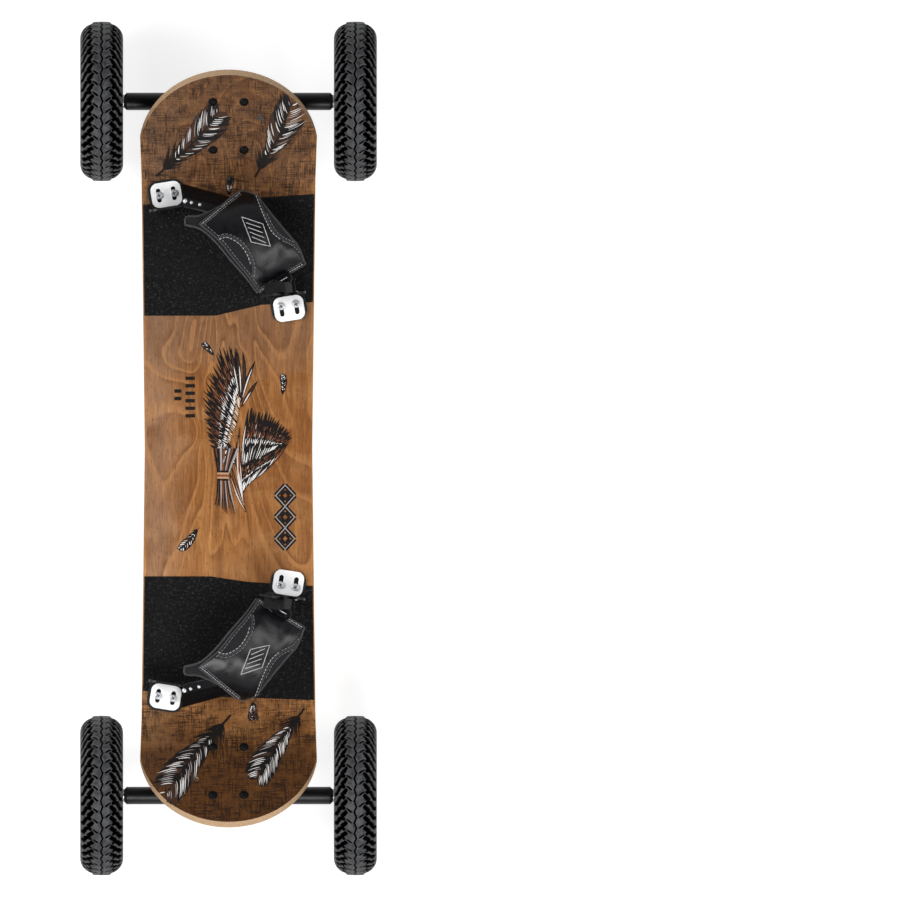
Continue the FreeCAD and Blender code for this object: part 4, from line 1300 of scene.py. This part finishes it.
def buckle(end):
    """What dresses the ratchet: an oval housing, its pins, the bracket's rivets and the ladder's teeth."""
    body = f"{end}_strap"
    centre, turn = (62.5, -46), 22
    a = math.radians(turn)
    # sections of the housing and of its two rails: height over the deck, half length and half width
    housing = Builder()
    levels = [(50, 11.5, 8), (52, 12.5, 9), (62, 12.5, 9), (65.5, 11.6, 8.1), (67.4, 9.2, 6), (67.9, 6, 3.5)]
    housing.rings([oval_ring(end, centre, half_x, half_y, z, turn) for z, half_x, half_y in levels])
    for shift in (-5.2, 5.2):
        rail = [(58, 8.5, 1.6), (66.6, 8.5, 1.6), (69.2, 7.6, 1.1), (69.6, 6.4, 0.5)]
        spot = (centre[0] - shift * math.sin(a), centre[1] + shift * math.cos(a))
        housing.rings([oval_ring(end, spot, half_x, half_y, z, turn, 16) for z, half_x, half_y in rail])
    attach(housing.piece(f"{end}_buckle_housing", "nylon"), body)

    pins = Builder()
    for x, y, z in ((centre[0], centre[1], 68.6), (centre[0] - 2, centre[1] - 5.5, 66)):
        ends = [in_binding(end, x + w * 6.5 * math.cos(a), y + w * 6.5 * math.sin(a), z) for w in (-1, 0, 1)]
        pins.tube(ends, mm(0.5), 10)
    attach(pins.piece(f"{end}_buckle_pins", "steel"), body)

    # rivets through the wall of the angle bracket, their heads towards the foot
    rivets = Builder()
    inward = (in_binding(end, 0, 1, 0) - in_binding(end, 0, 0, 0)).normalized()
    for x in (51, 77):
        profile = [(-2, 1.6), (0, 2.2), (0.7, 2.2), (1.6, 1.2)]
        rivets.lathe(profile, in_binding(end, x, -BRACKET_WALL_Y, 31), inward)
    attach(rivets.piece(f"{end}_bracket_rivets", "steel"), "board")

    # teeth across the ladder strap, which is an arc about the strap's own pivot
    teeth = Builder()
    for k in range(22):
        angle = math.radians(1.6 * k)
        rings = []
        for radius in (105.5, 120.5):
            ring = []
            for turn_by, y in ((-0.35, -61.15), (0.35, -61.15), (0.1, -60.78), (-0.1, -60.78)):
                b = angle + math.radians(turn_by)
                x, z = PIVOT[0] + radius * math.cos(b), PIVOT[1] + radius * math.sin(b)
                ring.append(in_binding(end, x, y, z))
            rings.append(ring)
        teeth.rings(rings)
    attach(teeth.piece(f"{end}_ladder_teeth", "moulded", False), "board")

    paint(f"{end}_buckle_body", "nylon", 1.0, segments=3)
    paint(f"{end}_buckle_lever", "nylon", 0.8, segments=3)
    paint(f"{end}_ladder_strap", "moulded", 0.5)


def bindings():
    """Both bindings: straps, ratchets, brackets, clamp plates with their gaskets, partly the plates' painted
    shadow, and painted shade in the bolts' recesses.
    """
    for end in ENDS:
        strap_pad(end)
        anchor_flap(end)
        buckle(end)
        for side in SIDES:
            paint(f"{end}_bracket_{side}", "black_metal", 0.5)
    paint("binding_plates", "aluminium", 0.6, segments=3)
    paint("binding_bolts", "steel", 0.4)
    paint("binding_tee_nuts", "steel", 0.3)
    # painted shade: a dark cross on each clamp bolt's head where its drive recess lies
    recess_shade = Builder()
    for end in ENDS:
        for side, way, shift in (("left", -1, 0), ("right", 1, RATCHET_SHIFT)):
            for slot in (-SLOT_HALF_GAP, SLOT_HALF_GAP):
                place = (way * CLAMP_X + slot, shift - way * CLAMP_BOLT_Y)
                base = in_binding(end, *place, GRIP_THICKNESS + CLAMP_BOLT_TOP)
                for turn in (20, 110):
                    a = math.radians(turn)
                    arm = Vector((math.cos(a), math.sin(a), 0)) * mm(2.1)
                    recess_shade.tube([base - arm, base, base + arm], mm(0.5), 6)
            # a dark rubber sheet under each plate and wider than it: partly a gasket, partly the plate's
            # painted shadow
            sheet, rings = Builder(), []
            centre = (way * CLAMP_X, shift - way * CLAMP_Y)
            for z in (GRIP_THICKNESS, GRIP_THICKNESS + GASKET_AND_SHADOW_THICKNESS):
                rings.append(oval_ring(end, centre, *GASKET_AND_SHADOW_HALF, z, sides=40, power=0.55, phase=0.5))
            sheet.rings(rings)
            attach(sheet.piece(f"{end}_gasket_and_shadow_{side}", "tube", False), "board")
    attach(recess_shade.piece("bolt_recess_shading", "black_steel"), "board")


# ---------------------------------------------------------------- deck, grip and trucks


def deck_and_trucks():
    """The finish of the board and of both trucks, and the inserts in the deck."""
    paint("deck", "wood", 2.4, segments=4, limit=50)
    for end in ENDS:
        paint(f"grip_tape_{end}", "grip")
        for part in ("base_plate", "hanger"):
            paint(f"{end}_{part}", "black_metal", 0.7)
        paint(f"{end}_kingpin", "black_steel", 0.5)
        paint(f"{end}_axle", "steel")
        paint(f"{end}_axle_fasteners", "steel", 0.5)
        for side in SIDES:
            paint(f"{end}_shock_block_{side}", "urethane", 0.8)
    paint("truck_bolts", "nylon", 0.4)
    paint("truck_nuts", "black_steel", 0.4)
    paint("kingpin_nuts", "steel", 0.5)
    paint("kingpin_bushes", "bush")
    # threaded inserts each side of the front tip, square to its slope
    inserts = Builder()
    y = UNDER_BEND_Y + INSERT_ALONG * math.cos(TIP_ANGLE) - DECK_THICKNESS * math.sin(TIP_ANGLE)
    axis = Vector((0, -math.sin(TIP_ANGLE), math.cos(TIP_ANGLE)))
    profile = [(-0.4, 1.9), (-0.4, 3.2), (0, 3.5), (0.3, 3.2), (0.2, 1.9), (-3, 1.8), (-3, 0.2)]
    for x in (-INSERT_X, INSERT_X):
        inserts.lathe(profile, on_deck(x, y), axis)
    attach(inserts.piece("accessory_inserts", "bush"), "board")


# ---------------------------------------------------------------- studio

FRAME_WIDTH = 1128
CAMERA_PLACE = (277.6, -1.9, 3000)


def studio():
    """A pale floor, soft lamps and a camera straight above, with the board to the left of the frame."""
    scene = bpy.context.scene
    bpy.ops.mesh.primitive_plane_add(size=8, location=(0, 0, -0.0005))
    floor = bpy.context.object
    floor.name = "floor"
    pale = Shader("PaleFloor", Roughness=0.9, Emission_Strength=0.8, Specular_IOR_Level=0.0)
    pale.set("Base Color", (0.36, 0.36, 0.36))
    pale.set("Emission Color", (1, 1, 1))
    floor.data.materials.append(pale.material)

    # each lamp's name, place, width in metres and power, all aimed at the middle of the board
    lamps = (
        ("key", (-1.9, 0.4, 2.1), 1.3, 54),
        ("fill", (1.5, -0.1, 2.2), 1.0, 19),
        ("back", (0.3, -1.9, 2.4), 1.3, 52),
    )
    for name, place, size, power in lamps:
        lamp = bpy.data.lights.new(name, "AREA")
        lamp.shape = "SQUARE"
        lamp.size = size
        lamp.energy = power
        holder = bpy.data.objects.new(name, lamp)
        holder.location = place
        holder.rotation_euler = (-Vector(place)).to_track_quat("-Z", "Y").to_euler()
        scene.collection.objects.link(holder)

    world = bpy.data.worlds.new("Studio")
    world.use_nodes = True
    tree = world.node_tree
    sky = tree.nodes["Background"]
    height = tree.nodes.new("ShaderNodeSeparateXYZ")
    tree.links.new(tree.nodes.new("ShaderNodeTexCoord").outputs["Generated"], height.inputs[0])
    fade = tree.nodes.new("ShaderNodeValToRGB")
    stops = ((0.25, (0.75, 0.76, 0.78, 1)), (0.9, (0.06, 0.06, 0.065, 1)))
    for element, (position, colour) in zip(fade.color_ramp.elements, stops):
        element.position = position
        element.color = colour
    tree.links.new(height.outputs["Z"], fade.inputs["Fac"])
    tree.links.new(fade.outputs["Color"], sky.inputs["Color"])
    sky.inputs["Strength"].default_value = 0.8
    scene.world = world
    scene.view_settings.view_transform = "Standard"

    camera = bpy.data.cameras.new("camera")
    camera.type = "ORTHO"
    camera.ortho_scale = mm(FRAME_WIDTH)
    holder = bpy.data.objects.new("camera", camera)
    holder.location = mm(*CAMERA_PLACE)
    scene.collection.objects.link(holder)
    scene.camera = holder


deck_and_trucks()
wheels()
artwork()
bindings()
studio()
